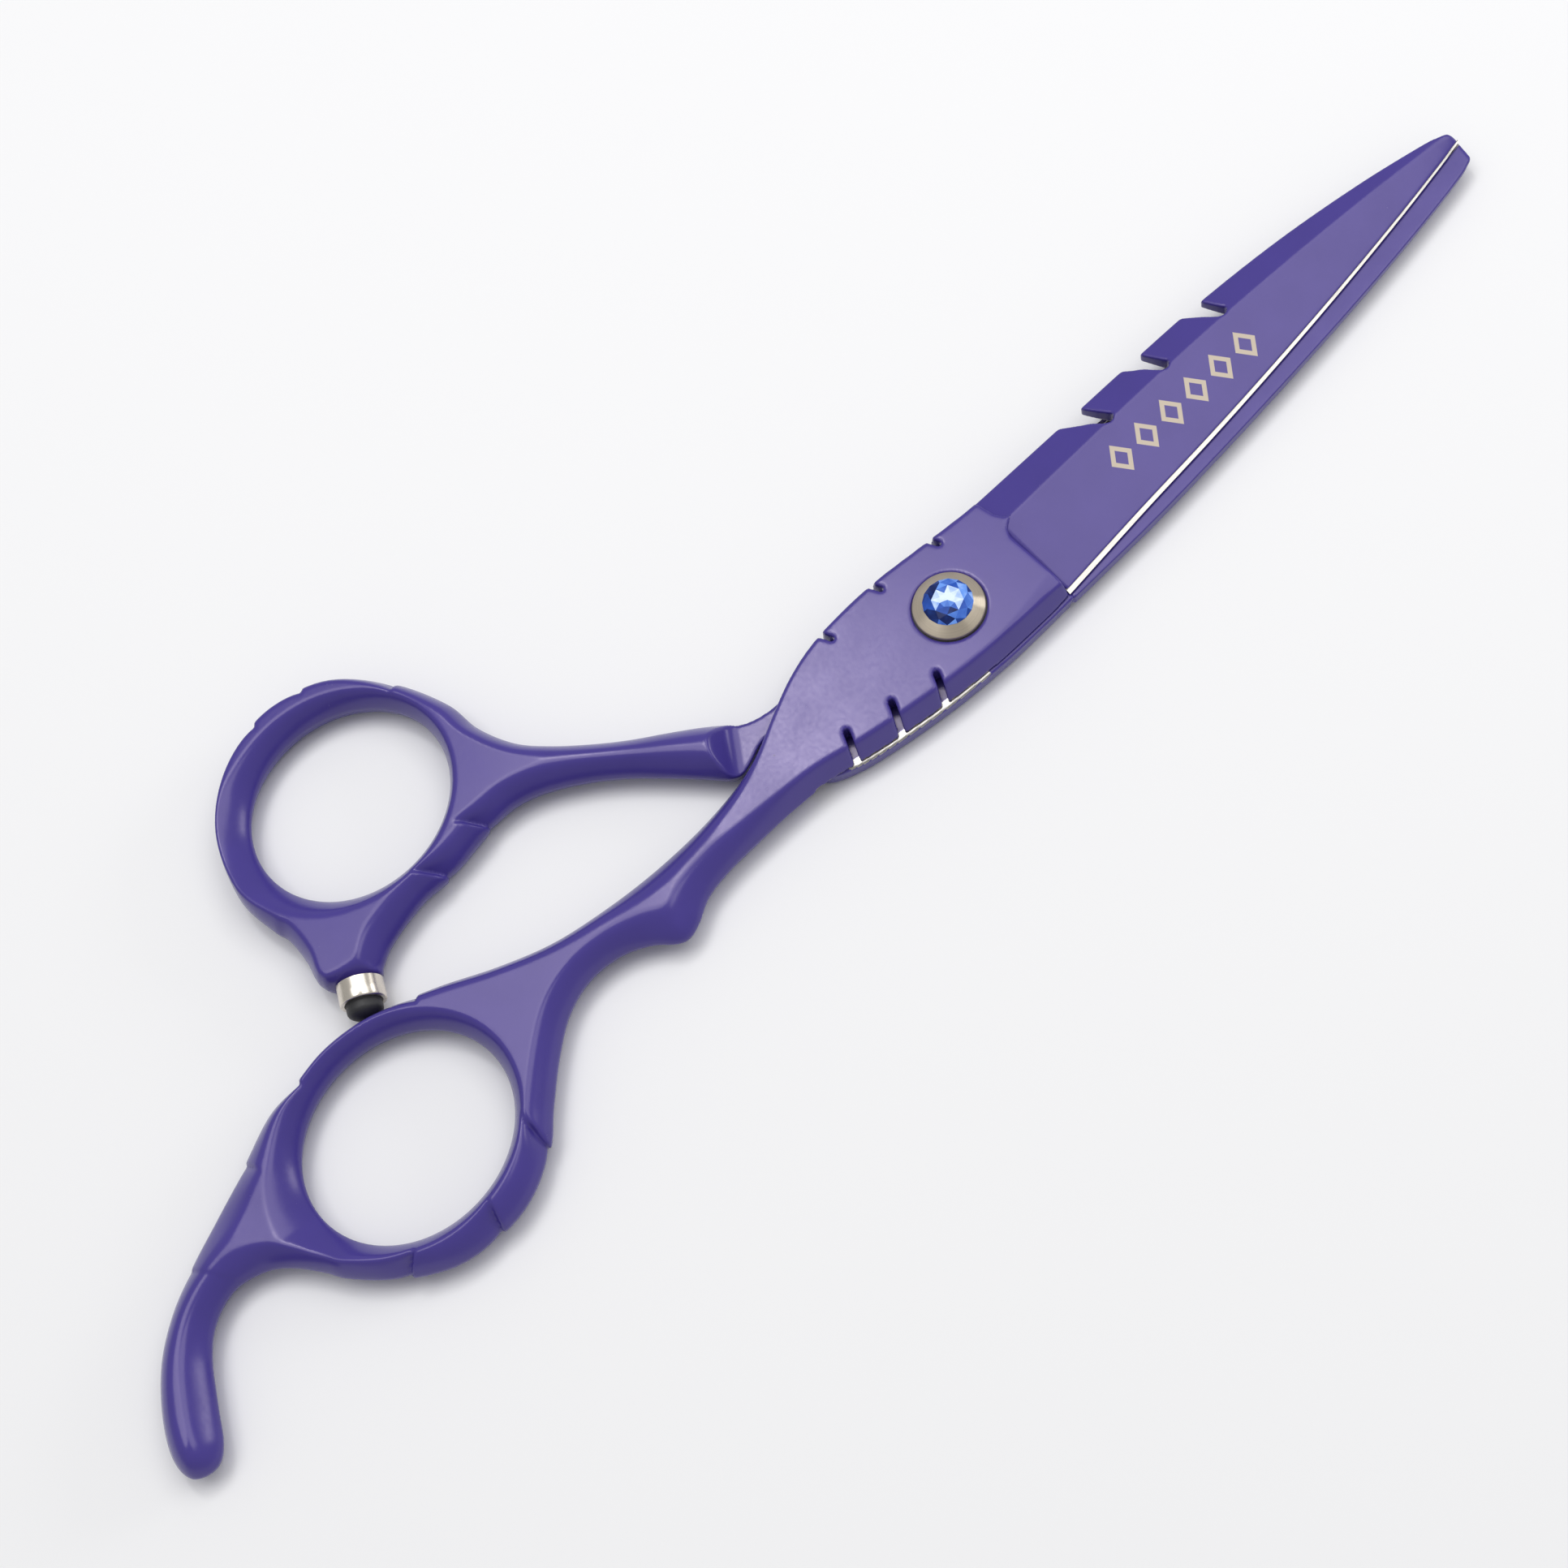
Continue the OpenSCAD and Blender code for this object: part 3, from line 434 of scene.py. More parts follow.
def soft_max(first, second, width):
    """The larger of two fields, with a parabola of the given width where they cross."""
    near = np.clip(1 - np.abs(first - second) / width, 0, None)
    return np.maximum(first, second) + near * near * width / 4


def soft_min(first, second, width):
    """The smaller of two fields, with a parabola of the given width where they cross."""
    return -soft_max(-first, -second, width)


def smooth_curve(points, closed=False):
    """A Catmull-Rom curve: a cubic from point to point, its slope at each half the span of the neighbours."""
    knots = np.array(points, float)
    if not closed:
        first = 2 * knots[:1] - knots[1:2]
        last = 2 * knots[-1:] - knots[-2:-1]
        knots = np.concatenate([first, knots, last])
    before = np.roll(knots, 1, axis=0)[:, None, :]
    after = np.roll(knots, -1, axis=0)[:, None, :]
    beyond = np.roll(knots, -2, axis=0)[:, None, :]
    here = knots[:, None, :]
    part = (np.arange(CURVE_STEPS) / CURVE_STEPS)[None, :, None]
    slope = after - before
    bend = 2 * before - 5 * here + 4 * after - beyond
    twist = 3 * here - before - 3 * after + beyond
    curve = here + 0.5 * (slope * part + bend * part ** 2 + twist * part ** 3)
    if closed:
        return curve.reshape(-1, knots.shape[1])
    return np.concatenate([curve[1:-2].reshape(-1, knots.shape[1]), knots[-2:-1]])


def read_off(table, places, column=1):
    """A table's column at places of its first column, read off a smooth curve through the rows."""
    curve = smooth_curve(table)
    return np.interp(places, curve[:, 0], curve[:, column])


def lattice(low, high, pitch):
    """Evenly spaced values from low to high, no further apart than the pitch."""
    return np.linspace(low, high, int(np.ceil((high - low) / pitch)) + 1)


def plan_runs(xs, ys):
    """The plan points of a lattice in runs of a limited length: each run's slice and its points."""
    grid = np.stack(np.meshgrid(xs, ys, indexing="ij"), axis=-1).reshape(-1, 2)
    for low in range(0, len(grid), POINTS_AT_ONCE):
        run = slice(low, low + POINTS_AT_ONCE)
        yield run, grid[run]


def nearest_on(start, end, points):
    """Squared distance from each point to its nearest segment, the segment's number and the share along."""
    way = end - start
    apart = points[:, None, :] - start[None, :, :]
    along = np.clip((apart * way).sum(2) / np.maximum((way * way).sum(1), TINY ** 2), 0, 1)
    left = apart - along[:, :, None] * way
    square = (left * left).sum(2)
    number = square.argmin(1)
    row = np.arange(len(points))
    return square[row, number], number, along[row, number]


def loop_depth(points, xs, ys):
    """How deep each plan point lies inside a closed smooth curve, and the curve's last value nearest to it.

    The depth is the distance to the curve, positive where a ray crosses the curve an odd number of times.
    """
    start = smooth_curve(points, closed=True)
    end = np.roll(start, -1, axis=0)
    depth = np.empty(len(xs) * len(ys))
    carried = np.empty(len(xs) * len(ys))
    for run, spots in plan_runs(xs, ys):
        square, number, along = nearest_on(start[:, :2], end[:, :2], spots)
        x, y = spots[:, :1], spots[:, 1:]
        spans = (start[:, 1] > y) != (end[:, 1] > y)
        rise = np.where(end[:, 1] == start[:, 1], 1, end[:, 1] - start[:, 1])
        meets = start[:, 0] + (end[:, 0] - start[:, 0]) * (y - start[:, 1]) / rise
        odd = (spans & (x < meets)).sum(1) % 2
        depth[run] = np.sqrt(square) * np.where(odd == 1, 1, -1)
        carried[run] = start[number, -1] + (end[number, -1] - start[number, -1]) * along
    shape = (len(xs), len(ys))
    return depth.reshape(shape), carried.reshape(shape)


def path_distance(points, xs, ys):
    """Distance from each plan point to an open smooth curve."""
    path = smooth_curve(points)
    distance = np.empty(len(xs) * len(ys))
    for run, spots in plan_runs(xs, ys):
        distance[run] = np.sqrt(nearest_on(path[:-1], path[1:], spots)[0])
    return distance.reshape(len(xs), len(ys))


def blurred(values, cells):
    """A plan array averaged a few times over a square that reaches the given cells each way."""
    window = 2 * cells + 1
    for axis in (0, 1):
        for _ in range(BLUR_PASSES):
            pad = [(cells + 1, cells) if a == axis else (0, 0) for a in (0, 1)]
            total = np.cumsum(np.pad(values, pad, mode="edge"), axis=axis)
            ahead = np.take(total, range(window, total.shape[axis]), axis=axis)
            behind = np.take(total, range(total.shape[axis] - window), axis=axis)
            values = (ahead - behind) / window
    return values


def past_line(foot, way, x, y):
    """How far plan points lie past a line through a foot, along a unit way."""
    return (x - foot[0]) * way[0] + (y - foot[1]) * way[1]


# Fields of the halves

def hole_depth(hole, xs, ys):
    """How far each plan point lies outside an ellipse: its level less one, over the level's slope."""
    (x, y), (half_x, half_y) = hole
    along = (xs[:, None] - x) / half_x
    across = (ys[None, :] - y) / half_y
    level = np.sqrt(along * along + across * across) + TINY
    slope = np.sqrt((along / half_x) ** 2 + (across / half_y) ** 2) / level + TINY
    return (level - 1) / slope


def hole_flank(hole, table, xs, ys):
    """Share of the hole rounding by the way from the hole's centre, read off a smooth curve."""
    x, y = hole[0]
    way = np.degrees(np.arctan2(ys[None, :] - y, xs[:, None] - x))
    return read_off(table, way)


def groove_bites(grooves, sizes, xs, ys):
    """What grooves take off the edge: a sharp wall on one side, a slow swell on the other, a bell along."""
    spread = millimetres(sizes.groove_spread)
    taken = np.zeros((len(xs), len(ys)))
    for x, y, turn, part in grooves:
        angle = np.radians(turn)
        off_x = xs[:, None] - x
        off_y = ys[None, :] - y
        across = off_x * np.cos(angle) + off_y * np.sin(angle)
        along = off_y * np.cos(angle) - off_x * np.sin(angle)
        bell = np.exp(-(along / GROOVE_LENGTH) ** 2)
        fall = np.where(across > 0, across / GROOVE_WALL, -across / spread)
        taken += part * millimetres(sizes.groove_bite) * bell * np.exp(-fall)
    return taken


def rounded_edge(depth, rounding, lift, fullness):
    """Outside measure of a rounded plate: a quarter of a superellipse joins side and face.

    The fullness is its power: two is an ellipse, and nearer one is a straight bevel.
    """
    short = np.clip(1 - depth / rounding, 0, None)
    return rounding * ((short ** fullness + lift ** fullness) ** (1 / fullness) - 1)


def slanted_edge(depth, inset, lift, half):
    """Outside measure of a plate whose sides lean in by the inset from the middle to the face."""
    return soft_max(half * (lift - 1), inset * lift - depth, SOFT_EDGE)


def plate_field(loop, hole, flank, grooves, blend, sizes, xs, ys, zs):
    """Outside measure of a handle: rounded at shank and ring, slanted at the pivot plate, ring hole cut."""
    half = middle(sizes)
    depth, rounding = loop_depth(loop, xs, ys)
    rounding = blurred(rounding, ROUNDING_CELLS)[:, :, None]
    inland = smooth_step(*PLATEAU_DEPTHS, depth)
    depth = depth + inland * (blurred(depth, PLATEAU_CELLS) - depth)
    height = (zs[None, None, :] - half) / half
    lift = np.abs(height)
    tight = np.where(height < 0, LOW_SHARE, 1)
    bitten = GROOVE_LOW + (1 - GROOVE_LOW) * smooth_step(*GROOVE_FADE, height)
    depth = depth[:, :, None] - groove_bites(grooves, sizes, xs, ys)[:, :, None] * bitten
    edge = rounded_edge(depth, rounding * tight, lift, np.where(height < 0, LOW_FULLNESS, EDGE_FULLNESS))
    flat = smooth_step(*blend, xs)[:, None, None]
    field = (1 - flat) * edge + flat * slanted_edge(depth, rounding, lift, half)
    inner = hole_depth(hole, xs, ys)[:, :, None]
    rim = millimetres(sizes.hole_rounding) * hole_flank(hole, flank, xs, ys)[:, :, None]
    bore = rounded_edge(inner, rim * tight, lift, np.where(height < 0, LOW_FULLNESS, FLANK_FULLNESS))
    return soft_max(field, bore, SOFT_CORNER), depth


def blade_run(x):
    """Share of the way from the blade's root to its tip."""
    return np.clip((x - BLADE_START) / (BLADE_END - BLADE_START), 0, 1)


def blade_heights(table, sizes, x, y):
    """Thickness of a blade's main face and of its spine face at plan points, both carried past the ridge.

    Each face is a ruled surface: straight across the blade, and thinner along it with the run squared.
    """
    edge, ridge, spine = [read_off(table, x, column) for column in (EDGE, RIDGE, SPINE)]
    run = blade_run(x) ** 2
    tip = millimetres(sizes.tip_thickness)
    top = millimetres(sizes.ridge_thickness) * (1 - run) + tip * run
    back = millimetres(sizes.spine_thickness) * (1 - run) + tip * run
    low = millimetres(sizes.edge_thickness)
    main = low + (top - low) * (y - edge) / (ridge - edge)
    spine_face = top + (back - top) * (y - ridge) / (spine - ridge)
    return main, spine_face


def bevel_width(sizes, x):
    """Width of the cutting bevel: full at the blade's root, and narrower in step with the run to the tip."""
    return millimetres(sizes.edge_bevel) * (1 - BEVEL["taper"] * blade_run(x))


def buried_front(field, depth, rise, x):
    """A forging's field, drawn in where its front is buried in the blade's root, and ended there."""
    buried = BURIED_INSET - np.minimum(depth, rise)
    field = np.maximum(field, np.minimum(x - BLADE_START - BURIED_INSET, buried))
    return np.maximum(field, x - BURIED_END)


def finger_forging(sizes, xs, ys, zs):
    """Field of the finger handle and upper plate, with chamfer, heel, slots, nicks, seat and front step."""
    x, y, z = np.ix_(xs, ys, zs)
    upper = mating_level(sizes, 1)
    field, depth = plate_field(
        FINGER_LOOP, FINGER_HOLE, FINGER_FLANK, FINGER_GROOVES, PLATE_BLEND["finger"], sizes, xs, ys, zs)
    chamfer = PLATE_CHAMFER
    reach = chamfer["depth"] + chamfer["gain"] * np.clip((x - chamfer["start"]) / chamfer["run"], 0, 1)
    sliver = np.where(y < 0, z - 2 * middle(sizes) + chamfer["slope"] * (reach - depth), -1)
    field = soft_max(field, sliver, SOFT_EDGE / 2)
    heel = np.hypot(np.minimum(x, 0), y)
    field = soft_max(field, soft_min(upper - z, HEEL_RADIUS - heel, SOFT_EDGE), SOFT_EDGE / 2)
    for cuts, width in ((PLATE_SLOTS, sizes.slot_width), (PLATE_NICKS, sizes.nick_width)):
        for cut in cuts:
            wall = millimetres(width) / 2 - path_distance(cut, xs, ys)
            field = soft_max(field, wall[:, :, None], SOFT_EDGE)
    pivot = np.hypot(x, y)
    field = soft_max(field, np.minimum(z - SEAT["floor"], SEAT["radius"] - pivot), SOFT_EDGE / 2)
    field = np.maximum(field, SEAT["bore"] - pivot)
    faces = blade_heights(UPPER_LINES, sizes, xs[:, None], ys[None, :])
    for starts, face in zip((MAIN_FACE_START, SPINE_FACE_START), faces):
        begins = np.interp(y, *zip(*starts))
        below = z - (upper + face[:, :, None] - BURIED_INSET / 2)
        field = soft_max(field, np.minimum(x - begins, below), SOFT_EDGE)
    return buried_front(field, depth, z - upper, x)


def thumb_forging(sizes, xs, ys, zs):
    """Field of the thumb handle and lower plate, with shoulder, spur end, bores and front step."""
    x, y, z = np.ix_(xs, ys, zs)
    lower = mating_level(sizes, -1)
    field, depth = plate_field(
        THUMB_LOOP, THUMB_HOLE, THUMB_FLANK, THUMB_GROOVES, PLATE_BLEND["thumb"], sizes, xs, ys, zs)
    lean = millimetres(sizes.shoulder_run) / middle(sizes) * (z - lower)
    shoulder = soft_min(z - lower, past_line(SHOULDER_FOOT, SHOULDER_WAY, x, y) + lean, SHOULDER_FILLET)
    field = soft_max(field, shoulder, SOFT_EDGE)
    field = soft_max(field, past_line(SPUR_END, BUMPER_WAY, x, y), SOFT_CORNER)
    pivot = np.hypot(x, y)
    field = np.maximum(field, NUT_ROOM["bush"] - pivot)
    field = np.maximum(field, np.minimum(z - NUT_ROOM["washer_floor"], NUT_ROOM["washer"] - pivot))
    field = np.maximum(field, np.minimum(NUT_ROOM["roof"] - z, NUT_ROOM["radius"] - pivot))
    main, spine_face = blade_heights(LOWER_LINES, sizes, xs[:, None], ys[None, :])
    above = lower - np.minimum(main, spine_face)[:, :, None] + BURIED_INSET / 2 - z
    field = soft_max(field, np.minimum(x - BLADE_START, above), SOFT_EDGE)
    return buried_front(field, depth, lower - z, x)


def blade_field(table, side, sizes, xs, ys, zs):
    """Field of a blade: the lower of two ground faces, flat inner face, upright spine, edge, tip and root."""
    x, y, z = np.ix_(xs, ys, zs)
    rise = side * (z - mating_level(sizes, side))
    inward = side * y
    main, spine_face = blade_heights(table, sizes, xs[:, None], ys[None, :])
    face = soft_min(main, spine_face, SOFT_RIDGE)[:, :, None]
    wall = inward - side * read_off(table, x, SPINE)
    near = side * read_off(table, x, EDGE) + bevel_width(sizes, x) - inward
    field = soft_max(rise - face, wall, SOFT_EDGE)
    field = soft_max(field, BLADE_RELIEF - rise, SOFT_EDGE / 2)
    field = soft_max(field, near, SOFT_EDGE / 2)
    field = soft_max(field, x + TIP_LEAN * inward - BLADE_END, SOFT_CORNER)
    root = BURIED_INSET * smooth_step(BLADE_START + BURIED_INSET, BLADE_START, x)
    return np.maximum(field + root, BURIED_START - x)


def upper_blade(sizes, xs, ys, zs):
    """Field of the upper blade with its three spine notches cut through."""
    field = blade_field(UPPER_LINES, 1, sizes, xs, ys, zs)
    for notch in SPINE_NOTCHES:
        field = soft_max(field, loop_depth(notch, xs, ys)[0][:, :, None], SOFT_EDGE)
    return field


def lower_blade(sizes, xs, ys, zs):
    """Field of the lower blade."""
    return blade_field(LOWER_LINES, -1, sizes, xs, ys, zs)


def bare_upper_plate(sizes, points, ways):
    """Bare where the upper plate's mating face looks down inside the heel, painted elsewhere."""
    face = (np.abs(points[:, 2] - mating_level(sizes, 1)) < FACE_NEAR) & (ways[:, 2] < -FACE_SQUARE)
    return np.where(face, 1.0, -1.0)


def bare_lower_plate(sizes, points, ways):
    """Bare in a narrow band inside the lower plate's near rim, in millimetres inside that band."""
    x, y, z = points.T
    face = (np.abs(z - mating_level(sizes, -1)) < RIM_NEAR) & (ways[:, 2] > RIM_SQUARE)
    band = RIM_BAND - (y - np.interp(x, *zip(*NEAR_RIM)))
    ends = np.minimum(x - NEAR_RIM[0][0], NEAR_RIM[-1][0] - x)
    return np.where(face, np.minimum(band, ends), -1.0)


def bare_blade(table, side):
    """Bare for a blade: the ride beside the edge on its inner face, in millimetres inside the ride."""

    def measure(sizes, points, ways):
        edge = read_off(table, points[:, 0], EDGE)
        spine = read_off(table, points[:, 0], SPINE)
        inside = RIDE_SHARE * side * (spine - edge) - side * (points[:, 1] - edge)
        return np.where(side * ways[:, 2] < -FACE_SQUARE, inside, -1.0)

    return measure


# Meshes

def surface_net(xs, ys, zs, field):
    """Points, quads and outward ways of a field's zero surface.

    Each cell that holds both signs gets one point, the mean of the crossings on its twelve edges, then
    Newton steps along the field's slope. Each lattice edge that changes sign joins its four cells in a quad.
    """
    inside = field < 0
    shape = tuple(n - 1 for n in field.shape)
    held = np.zeros(shape, np.int8)
    for corner in CELL_CORNERS:
        held += inside[tuple(slice(low, low + n) for low, n in zip(corner, shape))]
    cells = np.argwhere((held > 0) & (held < len(CELL_CORNERS)))
    number = np.full(shape, -1, np.int64)
    number[tuple(cells.T)] = np.arange(len(cells))
    place = np.zeros((len(cells), 3))
    crossings = np.zeros(len(cells))
    for first in CELL_CORNERS:
        for axis in range(3):
            if first[axis] == 1:
                continue
            second = tuple(1 if a == axis else first[a] for a in range(3))
            low = field[tuple((cells + first).T)]
            high = field[tuple((cells + second).T)]
            mixed_signs = (low < 0) != (high < 0)
            part = np.where(mixed_signs, low / np.where(mixed_signs, low - high, 1), 0)
            spot = np.array(first, float)[None, :] + part[:, None] * np.eye(3)[axis]
            place += np.where(mixed_signs[:, None], spot, 0)
            crossings += mixed_signs
    index = cells + place / crossings[:, None]
    axes = (xs, ys, zs)
    origin = np.stack([np.interp(index[:, a], np.arange(len(axes[a])), axes[a]) for a in range(3)], axis=1)
    slopes = np.gradient(field, *axes)
    reach = NEWTON_REACH * np.array([axis[1] - axis[0] for axis in axes])
    points = origin
    for _ in range(NEWTON_STEPS):
        level = sampled(field, axes, points)
        slope = np.stack([sampled(s, axes, points) for s in slopes], axis=1)
        step = level[:, None] * slope / np.maximum((slope * slope).sum(1), LEAST_SQUARED_SLOPE)[:, None]
        points = origin + np.clip(points - step - origin, -reach, reach)
    slope = np.stack([sampled(s, axes, points) for s in slopes], axis=1)
    ways = slope / np.maximum(np.linalg.norm(slope, axis=1), TINY)[:, None]
    quads = [crossed_quads(inside, number, axis) for axis in range(3)]
    return points, np.concatenate(quads), ways


def crossed_quads(inside, number, axis):
    """A quad of four neighbouring cells' points round each lattice edge along an axis that changes sign."""
    second = (axis + 1) % 3
    third = (axis + 2) % 3
    low = [slice(1, -1)] * 3
    high = [slice(1, -1)] * 3
    low[axis] = slice(0, -1)
    high[axis] = slice(1, None)
    before = inside[tuple(low)]
    edges = np.argwhere(before != inside[tuple(high)])
    outward = before[tuple(edges.T)]
    offset = np.ones(3, int)
    offset[axis] = 0
    ring = []
    for step_two, step_three in ((1, 1), (0, 1), (0, 0), (1, 0)):
        cell = edges + offset
        cell[:, second] -= step_two
        cell[:, third] -= step_three
        ring.append(number[tuple(cell.T)])
    ring = np.stack(ring, axis=1)
    return np.where(outward[:, None], ring, ring[:, ::-1])


def sampled(values, axes, points):
    """Lattice values at any points, by straight mixing of the eight corners round each."""
    low = []
    part = []
    for a in range(3):
        spot = np.interp(points[:, a], axes[a], np.arange(len(axes[a])))
        cell = np.clip(spot.astype(int), 0, len(axes[a]) - 2)
        low.append(cell)
        part.append(spot - cell)
    total = np.zeros(len(points))
    for i, j, k in CELL_CORNERS:
        weight = np.abs(1 - i - part[0]) * np.abs(1 - j - part[1]) * np.abs(1 - k - part[2])
        total += weight * values[low[0] + i, low[1] + j, low[2] + k]
    return total


def new_object(name, mesh, material, body, nodes):
    """An object at the origin that rides a body and stands for CAD nodes."""
    piece = bpy.data.objects.new(name, mesh)
    bpy.context.scene.collection.objects.link(piece)
    mesh.materials.append(material)
    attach(piece, body)
    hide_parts(*nodes)


def mesh_from_quads(name, points, quads, smooth):
    """A mesh in metres from points in millimetres and an array of four corners a face."""
    mesh = bpy.data.meshes.new(name)
    mesh.vertices.add(len(points))
    mesh.vertices.foreach_set("co", (points * MM).astype(np.float32).ravel())
    mesh.loops.add(quads.size)
    mesh.loops.foreach_set("vertex_index", quads.astype(np.int32).ravel())
    mesh.polygons.add(len(quads))
    mesh.polygons.foreach_set("loop_start", np.arange(0, quads.size, quads.shape[1], dtype=np.int32))
    mesh.update(calc_edges=True)
    mesh.validate()
    mesh.polygons.foreach_set("use_smooth", np.full(len(mesh.polygons), smooth))
    return mesh


def forged_piece(name, field_of, sizes, box, pitch, bare_of, material, body, node):
    """A forged or ground piece: its field on a lattice, the surface net of it and how bare each point is."""
    spans = zip(*box, pitch)
    xs, ys, zs = [lattice(low - LATTICE_MARGIN, high + LATTICE_MARGIN, step) for low, high, step in spans]
    points, quads, ways = surface_net(xs, ys, zs, field_of(sizes, xs, ys, zs))
    mesh = mesh_from_quads(name, points, quads, smooth=True)
    mesh.normals_split_custom_set_from_vertices(ways)
    bare = mesh.attributes.new("bare", "FLOAT", "POINT")
    bare.data.foreach_set("value", bare_of(sizes, points, ways).astype(np.float32))
    new_object(name, mesh, material, body, [node])


def cutting_bevel(name, table, side, sizes, material, body, node):
    """The bare cutting bevel: a four-cornered profile carried along the edge line, closed at both ends.

    The profile runs from the edge up an even slope to the main face, then down inside the blade and back.
    """
    xs = lattice(BLADE_START + BURIED_INSET / 2, BLADE_END - BEVEL["end"], BEVEL["pitch"])
    edge = read_off(table, xs, EDGE)
    width = bevel_width(sizes, xs)
    top = blade_heights(table, sizes, xs, edge + side * width)[0] + BEVEL["proud"]
    foot = top - BEVEL["slope"] * width
    across = edge[:, None] + side * width[:, None] * np.array(BEVEL_CORNERS)
    up = mating_level(sizes, side) + side * np.stack([foot, top, (foot + top) / 2, foot], axis=1)
    along = xs[:, None] + 0 * across
    points = np.stack([along, across, up], axis=-1)[:, ::side].reshape(-1, 3)
    count = len(BEVEL_CORNERS)
    corner = np.arange(count)
    start = count * np.arange(len(xs) - 1)[:, None]
    here = start + corner
    there = start + (corner + 1) % count
    quads = np.stack([here, here + count, there + count, there], axis=-1).reshape(-1, 4)
    caps = np.stack([corner, len(points) - 1 - corner])
    mesh = mesh_from_quads(name, points, np.concatenate([quads, caps]), smooth=False)
    new_object(name, mesh, material, body, [node])


def turned_points(profile, steps):
    """Points and faces of a profile of radius and height turned about an upright axis, from pole to pole."""
    rows = np.array(profile, float)
    angles = np.arange(steps) * 2 * np.pi / steps
    grid = np.stack([
        rows[:, None, 0] * np.cos(angles),
        rows[:, None, 0] * np.sin(angles),
        rows[:, None, 1] + 0 * angles,
    ], axis=-1)
    points = np.concatenate([grid[0, :1], grid[1:-1].reshape(-1, 3), grid[-1, :1]])
    ring = np.arange(steps)
    following = (ring + 1) % steps
    start = 1 + steps * np.arange(len(rows) - 3)[:, None]
    above = start + steps
    quads = np.stack([start + ring, start + following, above + following, above + ring], axis=-1)
    final = len(points) - 1
    foot = np.stack([0 * ring, 1 + following, 1 + ring], axis=-1)
    base = final - steps
    head = np.stack([base + ring, base + following, 0 * ring + final], axis=-1)
    return points, quads.reshape(-1, 4).tolist() + foot.tolist() + head.tolist()


def turned_piece(name, profile, axes, material, body, node, steps, sharp_angle):
    """A turned piece: the profile's points laid along three axes from an origin, all in millimetres."""
    origin, first, second, third = [np.array(way, float) for way in axes]
    points, faces = turned_points(profile, steps)
    placed = origin + points[:, :1] * first + points[:, 1:2] * second + points[:, 2:] * third
    mesh = bpy.data.meshes.new(name)
    mesh.from_pydata((placed * MM).tolist(), [], faces)
    mesh.polygons.foreach_set("use_smooth", np.ones(len(faces), bool))
    mesh.set_sharp_from_angle(angle=np.radians(sharp_angle))
    new_object(name, mesh, material, body, [node])


def stepped(radius, outline):
    """Profile points from steps off a radius, with their heights."""
    return [(radius + step, height) for step, height in outline]


def bumper_axes(sizes):
    """Origin and three ways of the bumper, whose own axis points out of the spur."""
    x, y = BUMPER_WAY
    return (*SPUR_END, middle(sizes)), (-y, x, 0), (0, 0, 1), (x, y, 0)


def painted_facet_light(row, way, k):
    """Painted light of one facet from its row of the table: painted highlight or painted shade in turn, and
    painted shade on the dark sides.
    """
    plain, changes, side_loss, near_loss = row
    dark_sides = (PAINTED_SHADE_SIDE, PAINTED_SHADE_NEAR)
    side, near = [smooth_step(low, high, np.cos(way - dark)) for dark, low, high in dark_sides]
    return max(0, plain + changes[k % len(changes)] - side_loss * side - near_loss * near)


def brilliant(sizes):
    """Points, faces and painted facet light of a brilliant cut.

    An eight-cornered table cut in a star, eight star points half a step round and lower, sixteen girdle
    points and a cone of sixteen faces below. Kites and triangles join the table, star points and girdle.
    """
    count = CRYSTAL_CORNERS
    girdle = millimetres(sizes.crystal_diameter) / 2
    table = millimetres(sizes.table_diameter) / 2
    corner_ways = np.arange(count) * 2 * np.pi / count
    edge_ways = corner_ways + np.pi / count
    girdle_ways = np.arange(2 * count) * np.pi / count
    rings = (
        (table, corner_ways, CRYSTAL["top"]),
        (table / 2, edge_ways, CRYSTAL["top"]),
        ((table + girdle) / 2 + CRYSTAL["star_out"], edge_ways, CRYSTAL["star"]),
        (girdle, girdle_ways, CRYSTAL["rim"]),
        (table / 4 + CRYSTAL["foot_out"], girdle_ways, CRYSTAL["foot"]),
        (0, np.zeros(1), CRYSTAL["top"]),
    )
    points = np.concatenate([
        np.stack([radius * np.cos(ways), radius * np.sin(ways), 0 * ways + height], axis=1)
        for radius, ways, height in rings])
    starts = np.cumsum([0] + [len(ring[1]) for ring in rings[:-1]]).tolist()
    table_at, inner_at, star_at, girdle_at, foot_at, centre = starts
    faces = []
    painted_lights = []
    for k in range(count):
        corner, next_corner = [table_at + (k + step) % count for step in (0, 1)]
        inner, last_inner = [inner_at + (k - step) % count for step in (0, 1)]
        star, last_star = [star_at + (k - step) % count for step in (0, 1)]
        rim, mid_rim, next_rim = [girdle_at + (2 * k + step) % (2 * count) for step in (0, 1, 2)]
        faces += [[centre, last_inner, inner], [last_inner, corner, inner], [corner, last_star, rim, star]]
        painted_lights += [painted_facet_light(row, corner_ways[k], k) for row in CORNER_PAINTED_LIGHT]
        faces += [[inner, corner, next_corner], [corner, star, next_corner]]
        faces += [[star, rim, mid_rim], [star, mid_rim, next_rim]]
        painted_lights += [painted_facet_light(row, edge_ways[k], k) for row in EDGE_PAINTED_LIGHT]
    for k in range(2 * count):
        on = (k + 1) % (2 * count)
        faces.append([girdle_at + k, foot_at + k, foot_at + on, girdle_at + on])
    faces.append([foot_at + k for k in reversed(range(2 * count))])
    painted_lights += [PAVILION_PAINTED_LIGHT] * (2 * count + 1)
    return points, faces, painted_lights


# Finishes

